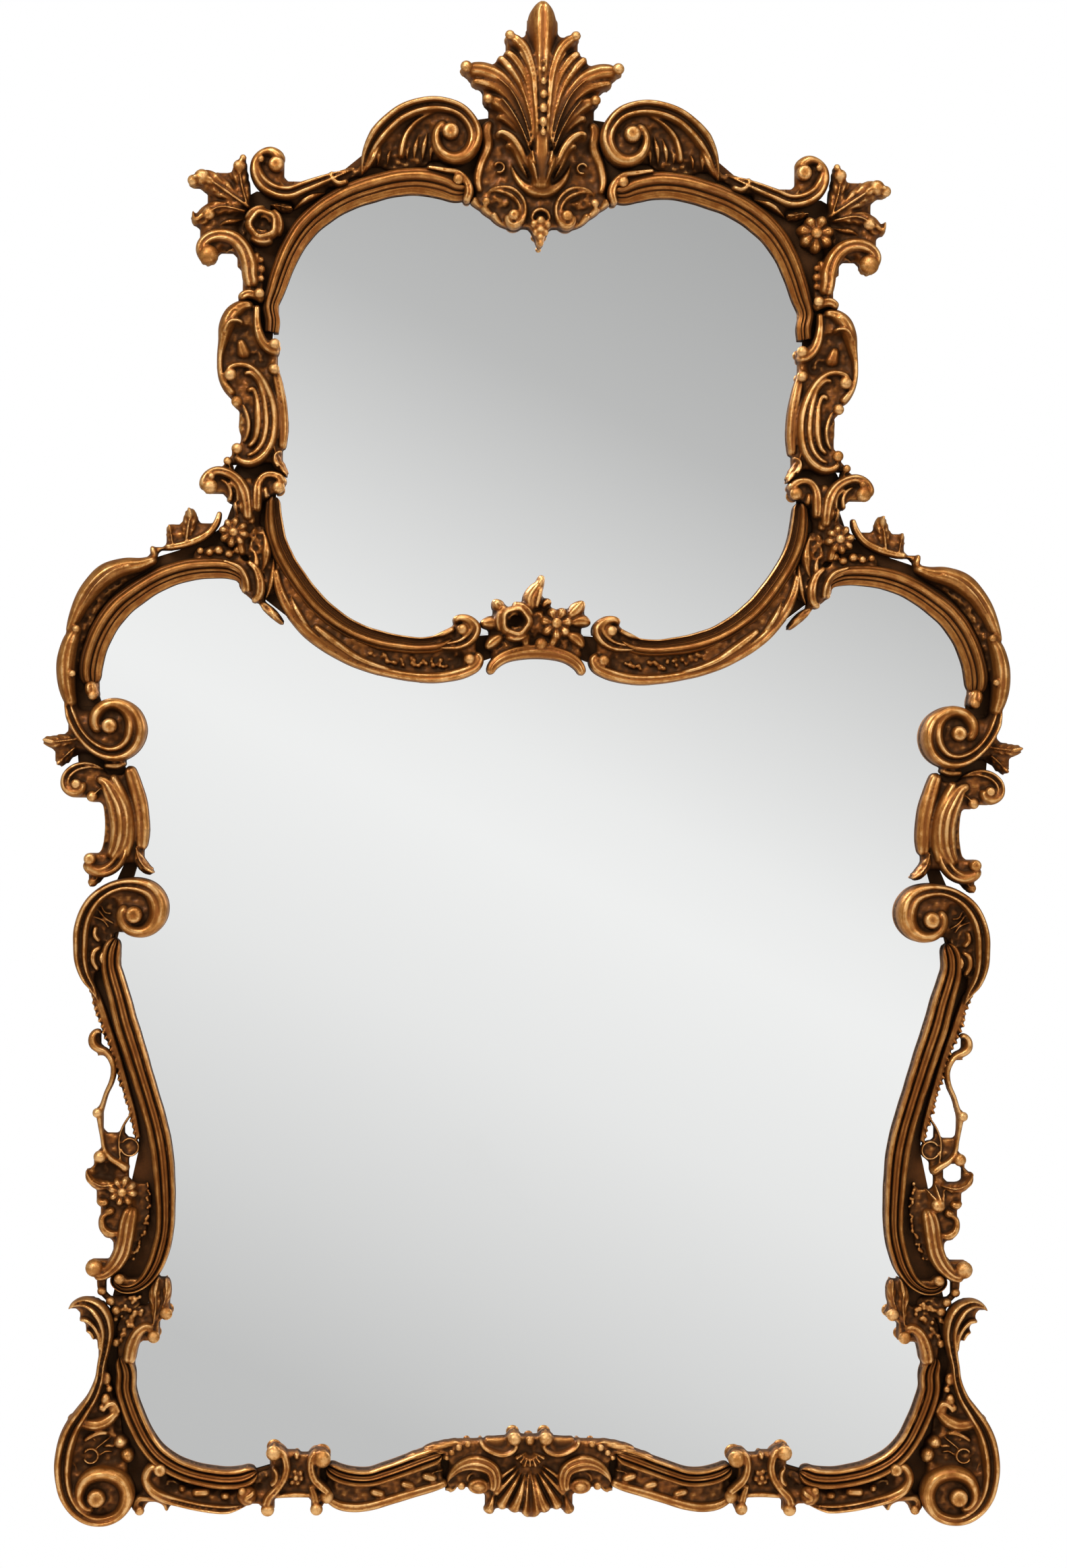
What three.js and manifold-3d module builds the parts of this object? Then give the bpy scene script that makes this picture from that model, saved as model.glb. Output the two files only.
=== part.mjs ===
// A wall-hung trumeau mirror in carved giltwood: a shaped upper plate over a larger lower plate, in a
// pine carcass that carries carved mouldings, leaf bands, volutes, flowers, a crest leaf and a shell.
// Millimetres, +Z up. The wall is the plane y = 0 and the carved front faces -Y. Heights are given
// from the lowest volute; the finished group is lowered so that the wall fixing is the origin.
// Carving points are [distance from the centre line, height, width of the carved stroke].

import * as THREE from 'three';
import { mergeVertices } from 'three/addons/utils/BufferGeometryUtils.js';
import Module from 'manifold-3d';

const wasm = await Module();
wasm.setup();

// Driving dimensions
const clearance = 0.3;              // gap between pieces that are glued or laid face to face
const carcassDepth = 32;            // pine carcass, from the wall to the back of the carving
const plateThickness = 5;           // silvered glass
const plateFit = 1.5;               // room between a plate's edge and its rebate
const backboardThickness = 8;
const battenThickness = 12;
const battenHeight = 46;
const upperBattenHeights = [1560];
const lowerBattenHeights = [330, 980];
const mountHeight = 1900;           // height of the wall fixing on the head rail

// Joint lines of the carcass
const bottomRailHalfLength = 470;
const bottomRailTop = 135;
const shoulderFoot = 1140;
const middleRailHalfLength = 392;
const shoulderTop = 1392;
const headRailFoot = 1712;

// Relief of the carving, forward of the carcass
const mouldingRelief = 26;
const leafRelief = 31;
const scrollRelief = 34;
const voluteRelief = 42;
const flowerRelief = 40;
const shellRelief = 46;
const crestRelief = 58;
const noseRelief = 76;
const groundRelief = 14;            // small bosses in the sunk ground
const recessRelief = 7;             // the sunk ground itself

// Hanger
const pocket = { width: 34, room: 6, depth: 8 };    // sunk in the back of the stile, room above and below
const strap = { width: 16, length: 48, thickness: 2, screwDrop: 35, aboveAxis: 1.9 };
const hangerPlace = { x: 408, z: 1600 };
const barrel = { radius: 3.2, length: 13, sides: 12 };
const ring = { wire: 1.5, width: 20, reach: 22, corner: 4, straight: 10, bowSteps: 6, sides: 6 };
const boreFit = 0.45;               // room around the ring's bar inside the barrel
const screw = { headRadius: 4, headHeight: 1.8, dome: 0.9, shankRadius: 1.9, length: 18, point: 5,
  sides: 12 };

// Fineness of the model
const outlineSteps = 0.7;           // straight steps for each point of an outline
const strokeSteps = 0.8;            // stations for each point of a carved stroke
const voluteStep = 45;              // degrees of a volute between stations
const chunk = 6;                    // stations that one closed length of a stroke spans
const thinRelief = 0.5;             // share of a stroke's relief that is left where it thins out
const eyeRise = 1.08;               // a volute's eye stands this much prouder than its band
const far = 3000;                   // cutting blocks reach past the part on every side

const wall = {
  front: -carcassDepth,
  carving: -(carcassDepth + clearance),
  plateBack: -(carcassDepth - plateThickness),
  boardFront: -(carcassDepth - plateThickness - clearance),
  boardBack: -(carcassDepth - plateThickness - clearance - backboardThickness),
};

const finishes = {
  gilt: new THREE.MeshStandardMaterial({ color: 0x9c6a2b, roughness: 0.42, metalness: 0.8 }),
  pine: new THREE.MeshStandardMaterial({ color: 0x8b6a47, roughness: 0.75, metalness: 0 }),
  board: new THREE.MeshStandardMaterial({ color: 0x7a5d40, roughness: 0.8, metalness: 0 }),
  silvering: new THREE.MeshStandardMaterial({ color: 0xd8dbdc, roughness: 0.04, metalness: 1 }),
  iron: new THREE.MeshStandardMaterial({ color: 0x5a554e, roughness: 0.5, metalness: 0.9 }),
  brass: new THREE.MeshStandardMaterial({ color: 0xb08d4a, roughness: 0.35, metalness: 0.9 }),
};

// Half outlines, from the bottom of the centre line round to the top of it
const carcassEdge = [
  [0, 34], [50, 40], [80, 62], [112, 62], [160, 50], [200, 38], [245, 30], [285, 44], [330, 44], [372, 42],
  [420, 28], [470, 33], [505, 42], [540, 46], [562, 24], [598, 10], [632, 24], [650, 60], [648, 92],
  [632, 130], [608, 168], [597, 205], [594, 250], [590, 292], [578, 330], [590, 350], [575, 375],
  [571, 410], [566, 445], [556, 490], [548, 530], [551, 565], [561, 600], [574, 640], [589, 680],
  [602, 722], [620, 762], [632, 792], [634, 822], [624, 852], [606, 878], [588, 893], [574, 908],
  [572, 930], [579, 955], [579, 985], [588, 1012], [606, 1038], [630, 1052], [644, 1072], [640, 1098],
  [648, 1128], [657, 1165], [660, 1200], [650, 1246], [632, 1288], [606, 1322], [576, 1337], [540, 1346],
  [510, 1358], [470, 1370], [442, 1388], [426, 1420], [420, 1450], [428, 1466], [418, 1482], [411, 1500],
  [405, 1522], [403, 1543], [406, 1562], [424, 1582], [440, 1606], [444, 1632], [438, 1664], [428, 1696],
  [411, 1716], [409, 1745], [414, 1768], [430, 1792], [434, 1822], [424, 1850], [402, 1862], [368, 1856],
  [326, 1864], [292, 1880], [256, 1904], [234, 1936], [202, 1964], [162, 1982], [122, 1980], [96, 1962],
  [72, 1968], [52, 1992], [30, 2030], [0, 2052],
];
const upperPlateEdge = [
  [0, 1252], [60, 1250], [110, 1240], [165, 1234], [222, 1242], [254, 1254], [283, 1270], [306, 1291],
  [327, 1314], [346, 1343], [357, 1368], [364, 1394], [366, 1415], [364, 1446], [361, 1480], [361, 1512],
  [361, 1545], [363, 1575], [368, 1605], [371, 1636], [371, 1664], [368, 1692], [362, 1724], [351, 1757],
  [335, 1787], [314, 1812], [292, 1831], [260, 1849], [222, 1863], [183, 1868], [130, 1864], [70, 1853],
  [0, 1846],
];
const lowerPlateEdge = [
  [0, 110], [60, 112], [110, 106], [152, 94], [195, 79], [230, 70], [268, 73], [305, 90], [340, 92],
  [372, 79], [410, 70], [446, 73], [480, 83], [512, 103], [535, 130], [551, 160], [559, 192], [559, 225],
  [547, 260], [533, 300], [525, 342], [512, 388], [505, 432], [505, 480], [509, 530], [521, 578],
  [537, 630], [554, 676], [571, 722], [583, 766], [584, 804], [575, 848], [561, 890], [551, 930],
  [549, 966], [554, 1003], [568, 1050], [590, 1100], [610, 1150], [615, 1190], [608, 1228], [592, 1263],
  [570, 1290], [543, 1308], [505, 1322], [460, 1329], [422, 1324], [386, 1296], [352, 1270], [320, 1246],
  [270, 1217], [210, 1196], [150, 1190], [100, 1198], [60, 1215], [0, 1224],
];

// Stroke sections: [across, forward], each from 0 or -1 to 1
const sections = {
  leaf: [[-1, 0], [0, 1], [1, 0]],
  volute: [[-1, 0], [-0.6, 0.95], [0.6, 0.95], [1, 0]],
  moulding: [[-1, 0], [-1, 0.5], [0.75, 1], [1, 0]],
};

// A knob wider than large has more faces: round the line towards the viewer, and from back to front
const knobFaces = { large: 10, fine: [8, 4], coarse: [6, 3] };

// A daisy's rings as shares of its radius and relief, the depth of the notches in its rim and the
// points to each petal
const daisyShape = { rings: [[1, 0], [1, 0.62], [0.34, 0.5], [0.24, 1]], notch: 0.32, petalPoints: 2 };

// A rose's cup and bud, as shares of its radius and relief
const roseShape = { stations: 8, cup: 0.72, wall: 0.56, bud: 0.55, budRelief: 0.8 };

// The fan's grooves, as shares of its ribs' reach and relief, its hinge radius and where a rib is highest
const fanGroove = { reach: 0.86, relief: 0.55, hinge: 3, crest: 0.62 };

// Turns a closed geometry into a solid that can be joined and cut
function solidOf(geometry) {
  geometry.deleteAttribute('normal');
  geometry.deleteAttribute('uv');
  const merged = mergeVertices(geometry, 1e-4);
  const solid = new wasm.Manifold(new wasm.Mesh({
    numProp: 3,
    vertProperties: new Float32Array(merged.attributes.position.array),
    triVerts: new Uint32Array(merged.index.array),
  }));
  return solid;
}

// Turns a solid back into a mesh's geometry
function geometryOf(solid) {
  const raw = solid.getMesh();
  const geometry = new THREE.BufferGeometry();
  geometry.setAttribute('position', new THREE.BufferAttribute(new Float32Array(raw.vertProperties), 3));
  geometry.setIndex(new THREE.BufferAttribute(new Uint32Array(raw.triVerts), 1));
  geometry.computeVertexNormals();
  return geometry;
}

function joined(solids) {
  let whole = solids[0];
  for (const solid of solids.slice(1)) whole = whole.add(solid);
  return whole;
}

// Closed shape through equal rings of points, with a flat cap at either end
function ringGeometry(rings, capFaces) {
  const count = rings[0].length;
  const positions = rings.flat(2);
  const index = [];
  for (let ringIndex = 0; ringIndex + 1 < rings.length; ringIndex += 1) {
    for (let k = 0; k < count; k += 1) {
      const a = ringIndex * count + k;
      const b = ringIndex * count + (k + 1) % count;
      index.push(a, b, a + count, b, b + count, a + count);
    }
  }
  const last = (rings.length - 1) * count;
  for (const [a, b, c] of capFaces) index.push(a, c, b, last + a, last + b, last + c);
  const geometry = new THREE.BufferGeometry();
  geometry.setAttribute('position', new THREE.Float32BufferAttribute(positions, 3));
  geometry.setIndex(index);
  return geometry;
}

// Stations of a smooth stroke: place, sideways direction, width and relief
function stationsOf(stroke, grow) {
  const nodes = stroke.points.map(([x, z, width]) => new THREE.Vector3(x, z, width));
  const curve = new THREE.CatmullRomCurve3(nodes, false, 'centripetal');
  const count = Math.max(2, Math.round((nodes.length - 1) * strokeSteps));
  const widest = Math.max(...nodes.map((node) => node.z));
  const stations = [];
  for (let k = 0; k <= count; k += 1) {
    const place = curve.getPoint(k / count);
    const tangent = curve.getTangent(k / count);
    const length = Math.hypot(tangent.x, tangent.y);
    const along = { x: tangent.x / length, z: tangent.y / length };
    const endShift = (k === 0 ? -grow : 0) + (k === count ? grow : 0);
    stations.push({
      x: place.x + along.x * endShift,
      z: place.y + along.z * endShift,
      across: { x: -along.z, z: along.x },
      width: place.z + 2 * grow,
      relief: stroke.relief * THREE.MathUtils.lerp(thinRelief, 1, Math.sqrt(place.z / widest)) + grow,
    });
  }
  return stations;
}

// A carved stroke: one section drawn along a smooth line, side -1 left and 1 right of the centre
function strokeSolid(stroke, side, grow) {
  const section = sections[stroke.section ?? 'leaf'];
  const flat = section.map(([across, forward]) => new THREE.Vector2(across, forward));
  const capFaces = THREE.ShapeUtils.triangulateShape(flat.slice().reverse(), [])
    .map((face) => face.map((k) => flat.length - 1 - k).sort((a, b) => a - b));
  const back = wall.carving - (stroke.lift ?? 0) + grow;
  const rings = stationsOf(stroke, grow).map((station) => section.map(([across, forward]) => [
    side * (station.x + station.across.x * across * station.width / 2),
    back - forward * (station.relief + grow),
    station.z + station.across.z * across * station.width / 2,
  ]));
  const lengths = [];
  for (let start = 0; start + 1 < rings.length; start += chunk) {
    const piece = solidOf(ringGeometry(rings.slice(start, start + chunk + 1), capFaces));
    lengths.push(piece.volume() < 0 ? flipped(rings.slice(start, start + chunk + 1), capFaces) : piece);
  }
  return joined(lengths);
}

function flipped(rings, capFaces) {
  const geometry = ringGeometry(rings, capFaces);
  const index = geometry.index.array;
  for (let k = 0; k < index.length; k += 3) [index[k], index[k + 1]] = [index[k + 1], index[k]];
  return solidOf(geometry);
}

// A rounded knob, bud or petal: an ellipsoid flattened on the carving's back
function knobSolid(knob, side, grow) {
  const [across, up] = knob.radii;
  const faces = Math.max(across, up) > knobFaces.large ? knobFaces.fine : knobFaces.coarse;
  const geometry = new THREE.SphereGeometry(1, ...faces);
  geometry.rotateX(Math.PI / 2);
  geometry.scale(across + grow, knob.relief / 2 + grow, up + grow);
  geometry.rotateY(side * THREE.MathUtils.degToRad(knob.tilt ?? 0));
  geometry.translate(side * knob.at[0], wall.carving - (knob.lift ?? 0) - knob.relief / 2, knob.at[1]);
  return solidOf(geometry);
}

function carved(pieces, side, grow = 0) {
  return joined(pieces.map((piece) => {
    if (piece.points) return strokeSolid(piece, side, grow);
    if (piece.fan) return fanSolid(piece, grow);
    return piece.rosette ? rosetteSolid(piece, side, grow) : knobSolid(piece, side, grow);
  }));
}

const stroke = (points, relief = leafRelief, extra = {}) => ({ points, relief, ...extra });
const knob = (x, z, radius, relief = scrollRelief, extra = {}) => (
  { at: [x, z], radii: [radius, radius], relief, ...extra });
const bud = (x, z, radii, tilt, relief = leafRelief, extra = {}) => (
  { at: [x, z], radii, tilt, relief, ...extra });
const ground = (points) => stroke(points, recessRelief);

// Points that wind from the end of a stroke round an eye, turn degrees in all
function winding([x, z, width], eye, turn, endRadius, endWidth) {
  const startRadius = Math.hypot(x - eye[0], z - eye[1]);
  const startAngle = Math.atan2(z - eye[1], x - eye[0]);
  const count = Math.max(3, Math.round(Math.abs(turn) / voluteStep));
  const points = [];
  for (let k = 1; k <= count; k += 1) {
    const share = k / count;
    const angle = startAngle + THREE.MathUtils.degToRad(turn) * share;
    const radius = THREE.MathUtils.lerp(startRadius, endRadius, share);
    points.push([
      eye[0] + radius * Math.cos(angle),
      eye[1] + radius * Math.sin(angle),
      THREE.MathUtils.lerp(width, endWidth, share),
    ]);
  }
  return points;
}

// A stroke that ends in a volute with a domed eye
function scroll(lead, volute, relief = scrollRelief) {
  const tail = winding(lead[lead.length - 1], volute.eye, volute.turn, volute.endRadius, volute.endWidth);
  return [
    stroke([...lead, ...tail], relief, { section: 'volute' }),
    knob(volute.eye[0], volute.eye[1], volute.eyeRadius, relief * eyeRise),
  ];
}

// A daisy: a rosette with a scalloped rim and a domed centre
const daisy = (x, z, radius, petals = 8, relief = flowerRelief) => (
  [{ rosette: [x, z], radius, petals, relief }]);

function rosetteSolid(flower, side, grow) {
  const [x, z] = flower.rosette;
  const { petalPoints, notch } = daisyShape;
  const count = flower.petals * petalPoints;
  const rings = daisyShape.rings.map(([share, forward]) => {
    const points = [];
    for (let k = 0; k < count; k += 1) {
      const angle = 2 * Math.PI * k / count;
      const dip = share === 1 ? notch * (1 - Math.cos(2 * Math.PI * k / petalPoints)) / 2 : 0;
      const radius = flower.radius * (share - dip) + grow;
      points.push([side * (x + radius * Math.cos(angle)), wall.carving - forward * (flower.relief + grow),
        z + radius * Math.sin(angle)]);
    }
    return points;
  });
  const capFaces = [];
  for (let k = 1; k + 1 < count; k += 1) capFaces.push([0, k, k + 1]);
  const solid = solidOf(ringGeometry(rings, capFaces));
  return solid.volume() < 0 ? flipped(rings, capFaces) : solid;
}

// An open rose: a thick cup of petals with a bud inside
function rose(x, z, radius, relief = flowerRelief) {
  const { stations, cup, wall: cupWall, bud: budShare, budRelief } = roseShape;
  const circle = [];
  for (let k = 0; k <= stations; k += 1) {
    const angle = 2 * Math.PI * k / stations;
    circle.push([x + radius * cup * Math.cos(angle), z + radius * cup * Math.sin(angle), radius * cupWall]);
  }
  return [stroke(circle, relief), knob(x, z, radius * budShare, relief * budRelief)];
}

// Carving, from the crest down. Each function gives one side's strokes and knobs.
function crestLeaf() {
  const lobes = [
    stroke([[0, 1868, 34], [0, 1905, 38], [0, 1950, 40], [0, 2010, 44], [0, 2060, 46], [0, 2092, 42],
      [0, 2116, 30], [0, 2130, 16]], crestRelief),
    stroke([[0, 1858, 14], [0, 1882, 30], [0, 1910, 32], [0, 1934, 20]], noseRelief),
  ];
  for (const half of [-1, 1]) {
    lobes.push(...[
      stroke([[8, 1960, 30], [20, 2020, 34], [32, 2058, 26], [46, 2078, 12]], crestRelief * 0.9),
      stroke([[14, 1930, 24], [28, 1985, 34], [55, 2018, 38], [85, 2024, 28], [106, 2035, 16]],
        crestRelief * 0.8),
      stroke([[14, 1915, 22], [30, 1958, 34], [52, 1984, 32], [73, 1991, 14]], crestRelief * 0.7),
      stroke([[12, 1880, 16], [26, 1910, 20], [40, 1934, 16], [60, 1940, 10]], crestRelief * 0.8),
    ].map((lobe) => mirroredPiece(lobe, half)));
  }
  return lobes;
}

function crestScroll() {
  return [
    ground([[232, 1912, 20], [212, 1922, 40], [178, 1938, 50], [140, 1940, 50]]),
    ...scroll([[262, 1893, 16], [247, 1908, 22], [238, 1930, 24], [222, 1950, 24], [196, 1971, 22],
      [166, 1982, 21], [136, 1982, 21], [111, 1972, 20], [96, 1953, 18]],
    { eye: [128, 1942], turn: 335, endRadius: 12, endWidth: 9, eyeRadius: 13 }, voluteRelief),
    stroke([[196, 1908, 12], [190, 1934, 14], [180, 1957, 12], [160, 1968, 10]], leafRelief * 0.8),
  ];
}

function cornerScroll() {
  return [
    ground([[256, 1893, 12], [285, 1882, 14]]),
    ...scroll([[268, 1893, 8], [285, 1884, 14], [305, 1874, 17], [330, 1864, 19], [352, 1858, 17],
      [372, 1862, 17], [388, 1876, 17], [395, 1894, 17]],
    { eye: [379, 1899], turn: 150, endRadius: 13, endWidth: 15, eyeRadius: 9 }, scrollRelief),
    knob(369, 1896, 11, scrollRelief * 0.9),
  ];
}

function headMoulding() {
  return [
    stroke([[374, 1706, 24], [369, 1724, 27], [360, 1752, 30], [347, 1783, 32], [328, 1812, 34],
      [303, 1835, 36], [270, 1855, 36], [235, 1868, 37], [200, 1877, 38], [165, 1879, 38], [135, 1873, 36],
      [117, 1864, 28]], mouldingRelief, { section: 'moulding' }),
    stroke([[132, 1890, 10], [112, 1886, 14], [99, 1872, 14], [101, 1852, 11]], scrollRelief),
    knob(114, 1878, 8, scrollRelief),
  ];
}

function crestCollar() {
  return [
    ...scroll([[72, 1852, 8], [64, 1864, 9], [50, 1867, 11], [34, 1860, 12], [26, 1845, 12]],
      { eye: [38, 1830], turn: 200, endRadius: 9, endWidth: 8, eyeRadius: 8 }, leafRelief),
    stroke([[84, 1856, 12], [66, 1833, 16], [46, 1818, 8]], leafRelief * 0.6),
    ground([[0, 1880, 60], [30, 1866, 60], [60, 1850, 30]]),
    stroke([[0, 1872, 26], [0, 1834, 22], [0, 1792, 14]], leafRelief),
  ];
}

function cornerLeaves() {
  return [
    ground([[398, 1840, 30], [410, 1810, 40], [412, 1780, 20]]),
    stroke([[405, 1836, 18], [430, 1850, 30], [452, 1866, 32], [472, 1877, 24], [487, 1876, 12]],
      leafRelief),
    stroke([[404, 1846, 16], [414, 1868, 28], [420, 1888, 22], [416, 1904, 9]], leafRelief),
    stroke([[412, 1832, 14], [440, 1832, 22], [464, 1824, 22], [479, 1818, 14], [482, 1832, 8]],
      leafRelief),
    stroke([[398, 1714, 18], [403, 1732, 22], [405, 1750, 22], [412, 1774, 22], [428, 1793, 20],
      [447, 1798, 18], [464, 1792, 17], [471, 1779, 16], [462, 1768, 14]], scrollRelief),
    knob(462, 1770, 13, scrollRelief),
    stroke([[419, 1711, 9], [405, 1719, 14], [391, 1716, 12]], scrollRelief),
    knob(391, 1715, 8, scrollRelief),
  ];
}

const cornerFlower = { x: 387, z: 1812, radius: 26 };

function cornerRose() {
  return rose(cornerFlower.x, cornerFlower.z, cornerFlower.radius);
}

function cornerDaisy() {
  return daisy(cornerFlower.x, cornerFlower.z, cornerFlower.radius, 7);
}

function upperSideScroll() {
  return [
    stroke([[404, 1704, 14], [420, 1702, 20], [434, 1686, 20], [441, 1664, 16], [443, 1640, 12],
      [443, 1618, 12], [437, 1598, 12], [426, 1583, 10]], leafRelief),
    stroke([[390, 1702, 10], [394, 1680, 11], [393, 1660, 13], [386, 1643, 13], [372, 1635, 12]],
      leafRelief),
    knob(370, 1646, 9, scrollRelief),
    stroke([[430, 1604, 12], [420, 1613, 11], [408, 1613, 14], [394, 1600, 22], [387, 1575, 36],
      [386, 1545, 42], [388, 1520, 38], [394, 1498, 30], [408, 1488, 20], [421, 1491, 14]], leafRelief),
    knob(420, 1500, 8, scrollRelief),
    knob(431, 1600, 8, scrollRelief),
    stroke([[402, 1580, 16], [416, 1570, 14], [424, 1564, 10]], leafRelief * 0.7),
    ground([[424, 1690, 20], [410, 1660, 56], [404, 1630, 60], [398, 1600, 60]]),
    stroke([[372, 1640, 12], [366, 1628, 12], [363, 1600, 14], [362, 1572, 18], [362, 1544, 18],
      [362, 1506, 14]], mouldingRelief * 0.7),
    stroke([[357, 1506, 12], [362, 1488, 16], [353, 1469, 8]], leafRelief * 0.7),
  ];
}

function waistScroll() {
  return [
    stroke([[402, 1398, 18], [404, 1425, 24], [410, 1448, 24], [424, 1463, 18], [441, 1468, 14],
      [457, 1463, 14], [463, 1451, 14], [456, 1445, 12]], scrollRelief),
    knob(457, 1447, 11, scrollRelief),
    stroke([[392, 1412, 14], [393, 1438, 14], [385, 1456, 11], [373, 1463, 10], [360, 1458, 12],
      [356, 1448, 12]], scrollRelief),
    knob(362, 1448, 8, scrollRelief),
    stroke([[424, 1466, 12], [430, 1477, 13], [433, 1488, 8]], leafRelief * 0.8),
    ...daisy(424, 1384, 22),
  ];
}

function middleMoulding() {
  return [
    stroke([[370, 1436, 20], [369, 1402, 26], [363, 1372, 27], [352, 1347, 28], [335, 1320, 29],
      [312, 1290, 30], [285, 1266, 30], [253, 1247, 29], [220, 1236, 28], [190, 1231, 26], [163, 1229, 25],
      [138, 1232, 25], [117, 1241, 22]], mouldingRelief, { section: 'moulding' }),
    stroke([[120, 1252, 9], [110, 1264, 11], [95, 1263, 13], [88, 1250, 13], [96, 1238, 11]], scrollRelief),
  ];
}

function middleLeafBand() {
  return [
    stroke([[364, 1326, 12], [358, 1296, 16], [345, 1272, 16], [325, 1250, 16], [300, 1232, 17],
      [270, 1216, 16], [240, 1203, 14], [210, 1192, 12], [180, 1186, 11], [150, 1184.5, 11],
      [120, 1187, 11], [100, 1193, 12], [87, 1203, 13], [90, 1214, 13]], leafRelief),
    ground([[350, 1304, 26], [330, 1272, 24], [300, 1248, 24], [262, 1228, 24], [220, 1212, 22],
      [180, 1204, 24], [140, 1203, 26], [104, 1216, 30], [96, 1240, 24]]),
    knob(97, 1211, 8, leafRelief),
  ];
}

// The flowers and leaves over the middle rail differ from side to side: x grows to the right
function middleFlowers() {
  return [
    ...rose(-28, 1268, 25),
    stroke([[-4, 1282, 18], [0, 1304, 22], [5, 1318, 16], [7, 1330, 8]], leafRelief),
    ...daisy(29, 1262, 22, 7),
    stroke([[-50, 1272, 18], [-64, 1268, 22], [-78, 1264, 10]], leafRelief * 0.8),
    stroke([[-46, 1286, 14], [-55, 1292, 18], [-60, 1282, 10]], leafRelief * 0.8),
    stroke([[-36, 1256, 18], [-58, 1238, 24], [-70, 1230, 12]], leafRelief * 0.8),
    stroke([[40, 1266, 16], [62, 1282, 22], [70, 1290, 10]], leafRelief * 0.8),
    stroke([[46, 1254, 16], [62, 1248, 22], [76, 1240, 10]], leafRelief * 0.8),
    stroke([[-66, 1194, 12], [-58, 1206, 13], [-44, 1214, 15], [-22, 1221, 17], [0, 1223, 18],
      [22, 1221, 17], [44, 1214, 15], [58, 1206, 13], [66, 1194, 12]], leafRelief * 0.8),
    stroke([[0, 1222, 12], [0, 1252, 26]], leafRelief * 0.7),
  ];
}

function shoulderMoulding() {
  return [
    stroke([[405, 1302, 12], [411, 1322, 18], [428, 1333, 27], [460, 1335, 30], [495, 1330, 31],
      [527, 1318, 32], [556, 1300, 33], [582, 1279, 34], [602, 1252, 34], [616, 1220, 34], [622, 1190, 33],
      [620, 1168, 28]], mouldingRelief, { section: 'moulding' }),
    stroke([[621, 1172, 20], [618, 1160, 20], [612, 1152, 14]], leafRelief),
    ground([[390, 1296, 20], [414, 1318, 18]]),
    stroke([[384, 1346, 9], [392, 1324, 13], [394, 1304, 15], [388, 1288, 10]], leafRelief * 0.8),
    stroke([[390, 1292, 12], [374, 1282, 16], [364, 1270, 14], [354, 1260, 6]], leafRelief * 0.5),
  ];
}

function shoulderVolute() {
  return [
    ...scroll([[500, 1362, 8], [522, 1357, 10], [548, 1345, 12], [575, 1337, 15], [596, 1327, 22],
      [613, 1311, 24], [627, 1290, 24], [639, 1266, 23], [647, 1244, 22], [652, 1220, 23], [655, 1195, 22],
      [654, 1170, 20], [650, 1146, 18], [641, 1122, 16], [629, 1100, 16], [612, 1084, 17], [592, 1076, 19],
      [573, 1080, 23], [560, 1094, 26]],
    { eye: [593, 1113], turn: -215, endRadius: 15, endWidth: 13, eyeRadius: 11 }, voluteRelief),
    ground([[628, 1098, 24], [650, 1082, 30], [662, 1074, 18]]),
    bud(664, 1091, [21, 12], -8, leafRelief * 0.6),
    bud(655, 1066, [14, 11], 25, leafRelief * 0.6),
    stroke([[500, 1361, 9], [477, 1371, 10], [456, 1385, 10], [446, 1400, 9], [442, 1417, 6]],
      leafRelief * 0.7),
    stroke([[508, 1362, 12], [508, 1378, 16], [514, 1392, 7]], leafRelief * 0.5),
    stroke([[486, 1368, 20], [485, 1392, 26], [486, 1416, 10]], leafRelief * 0.5),
  ];
}

function sideScroll() {
  return [
    stroke([[640, 1022, 12], [651, 1034, 13], [646, 1050, 13], [630, 1056, 13], [611, 1051, 17],
      [595, 1039, 21], [583, 1022, 26], [575, 1000, 30], [572, 975, 31], [573, 955, 29], [579, 936, 24],
      [590, 921, 19], [604, 913, 15], [617, 916, 13]], scrollRelief),
    knob(620, 926, 8.5, scrollRelief),
    knob(637, 1032, 8, scrollRelief),
    stroke([[567, 1056, 14], [560, 1038, 16], [554, 1015, 17], [550, 990, 17], [549, 965, 16],
      [550, 938, 15], [549, 922, 12]], mouldingRelief * 0.7),
    bud(545, 920, [10, 16], 24, leafRelief * 0.7),
    stroke([[600, 1032, 14], [612, 1020, 16], [620, 1013, 10]], leafRelief * 0.5),
    stroke([[596, 916, 18], [612, 900, 17], [618, 889, 9]], leafRelief * 0.6),
    ground([[604, 916, 16], [622, 926, 14]]),
  ];
}

function sideVolute() {
  return [
    ...scroll([[612, 744, 8], [624, 762, 12], [631, 782, 14], [632, 804, 16], [630, 826, 17],
      [622, 848, 17], [610, 867, 17], [593, 882, 18], [572, 889, 19], [550, 889, 21], [533, 880, 22],
      [525, 863, 22]],
    { eye: [555, 853], turn: 285, endRadius: 13, endWidth: 12, eyeRadius: 11 }, voluteRelief),
    stroke([[617, 757, 13], [608, 738, 14], [600, 718, 14], [592, 694, 13], [583, 668, 12],
      [573, 638, 12], [564, 608, 12], [556, 575, 11], [549, 540, 11]], leafRelief * 0.6),
    ground([[612, 792, 26], [604, 820, 36], [602, 850, 34]]),
  ];
}

function sideMoulding() {
  return [
    stroke([[582, 818, 18], [589, 800, 27], [590, 780, 28], [587, 765, 28], [578, 735, 30], [569, 700, 30],
      [556, 660, 31], [545, 625, 31], [534, 590, 31], [524, 555, 31], [517, 520, 32], [513, 480, 30],
      [511, 440, 27], [512, 410, 26], [517, 385, 26], [525, 362, 24], [538, 342, 19], [555, 331, 15],
      [569, 334, 13], [575, 343, 12]], mouldingRelief),
    knob(574, 345, 7.5, scrollRelief),
  ];
}

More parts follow.
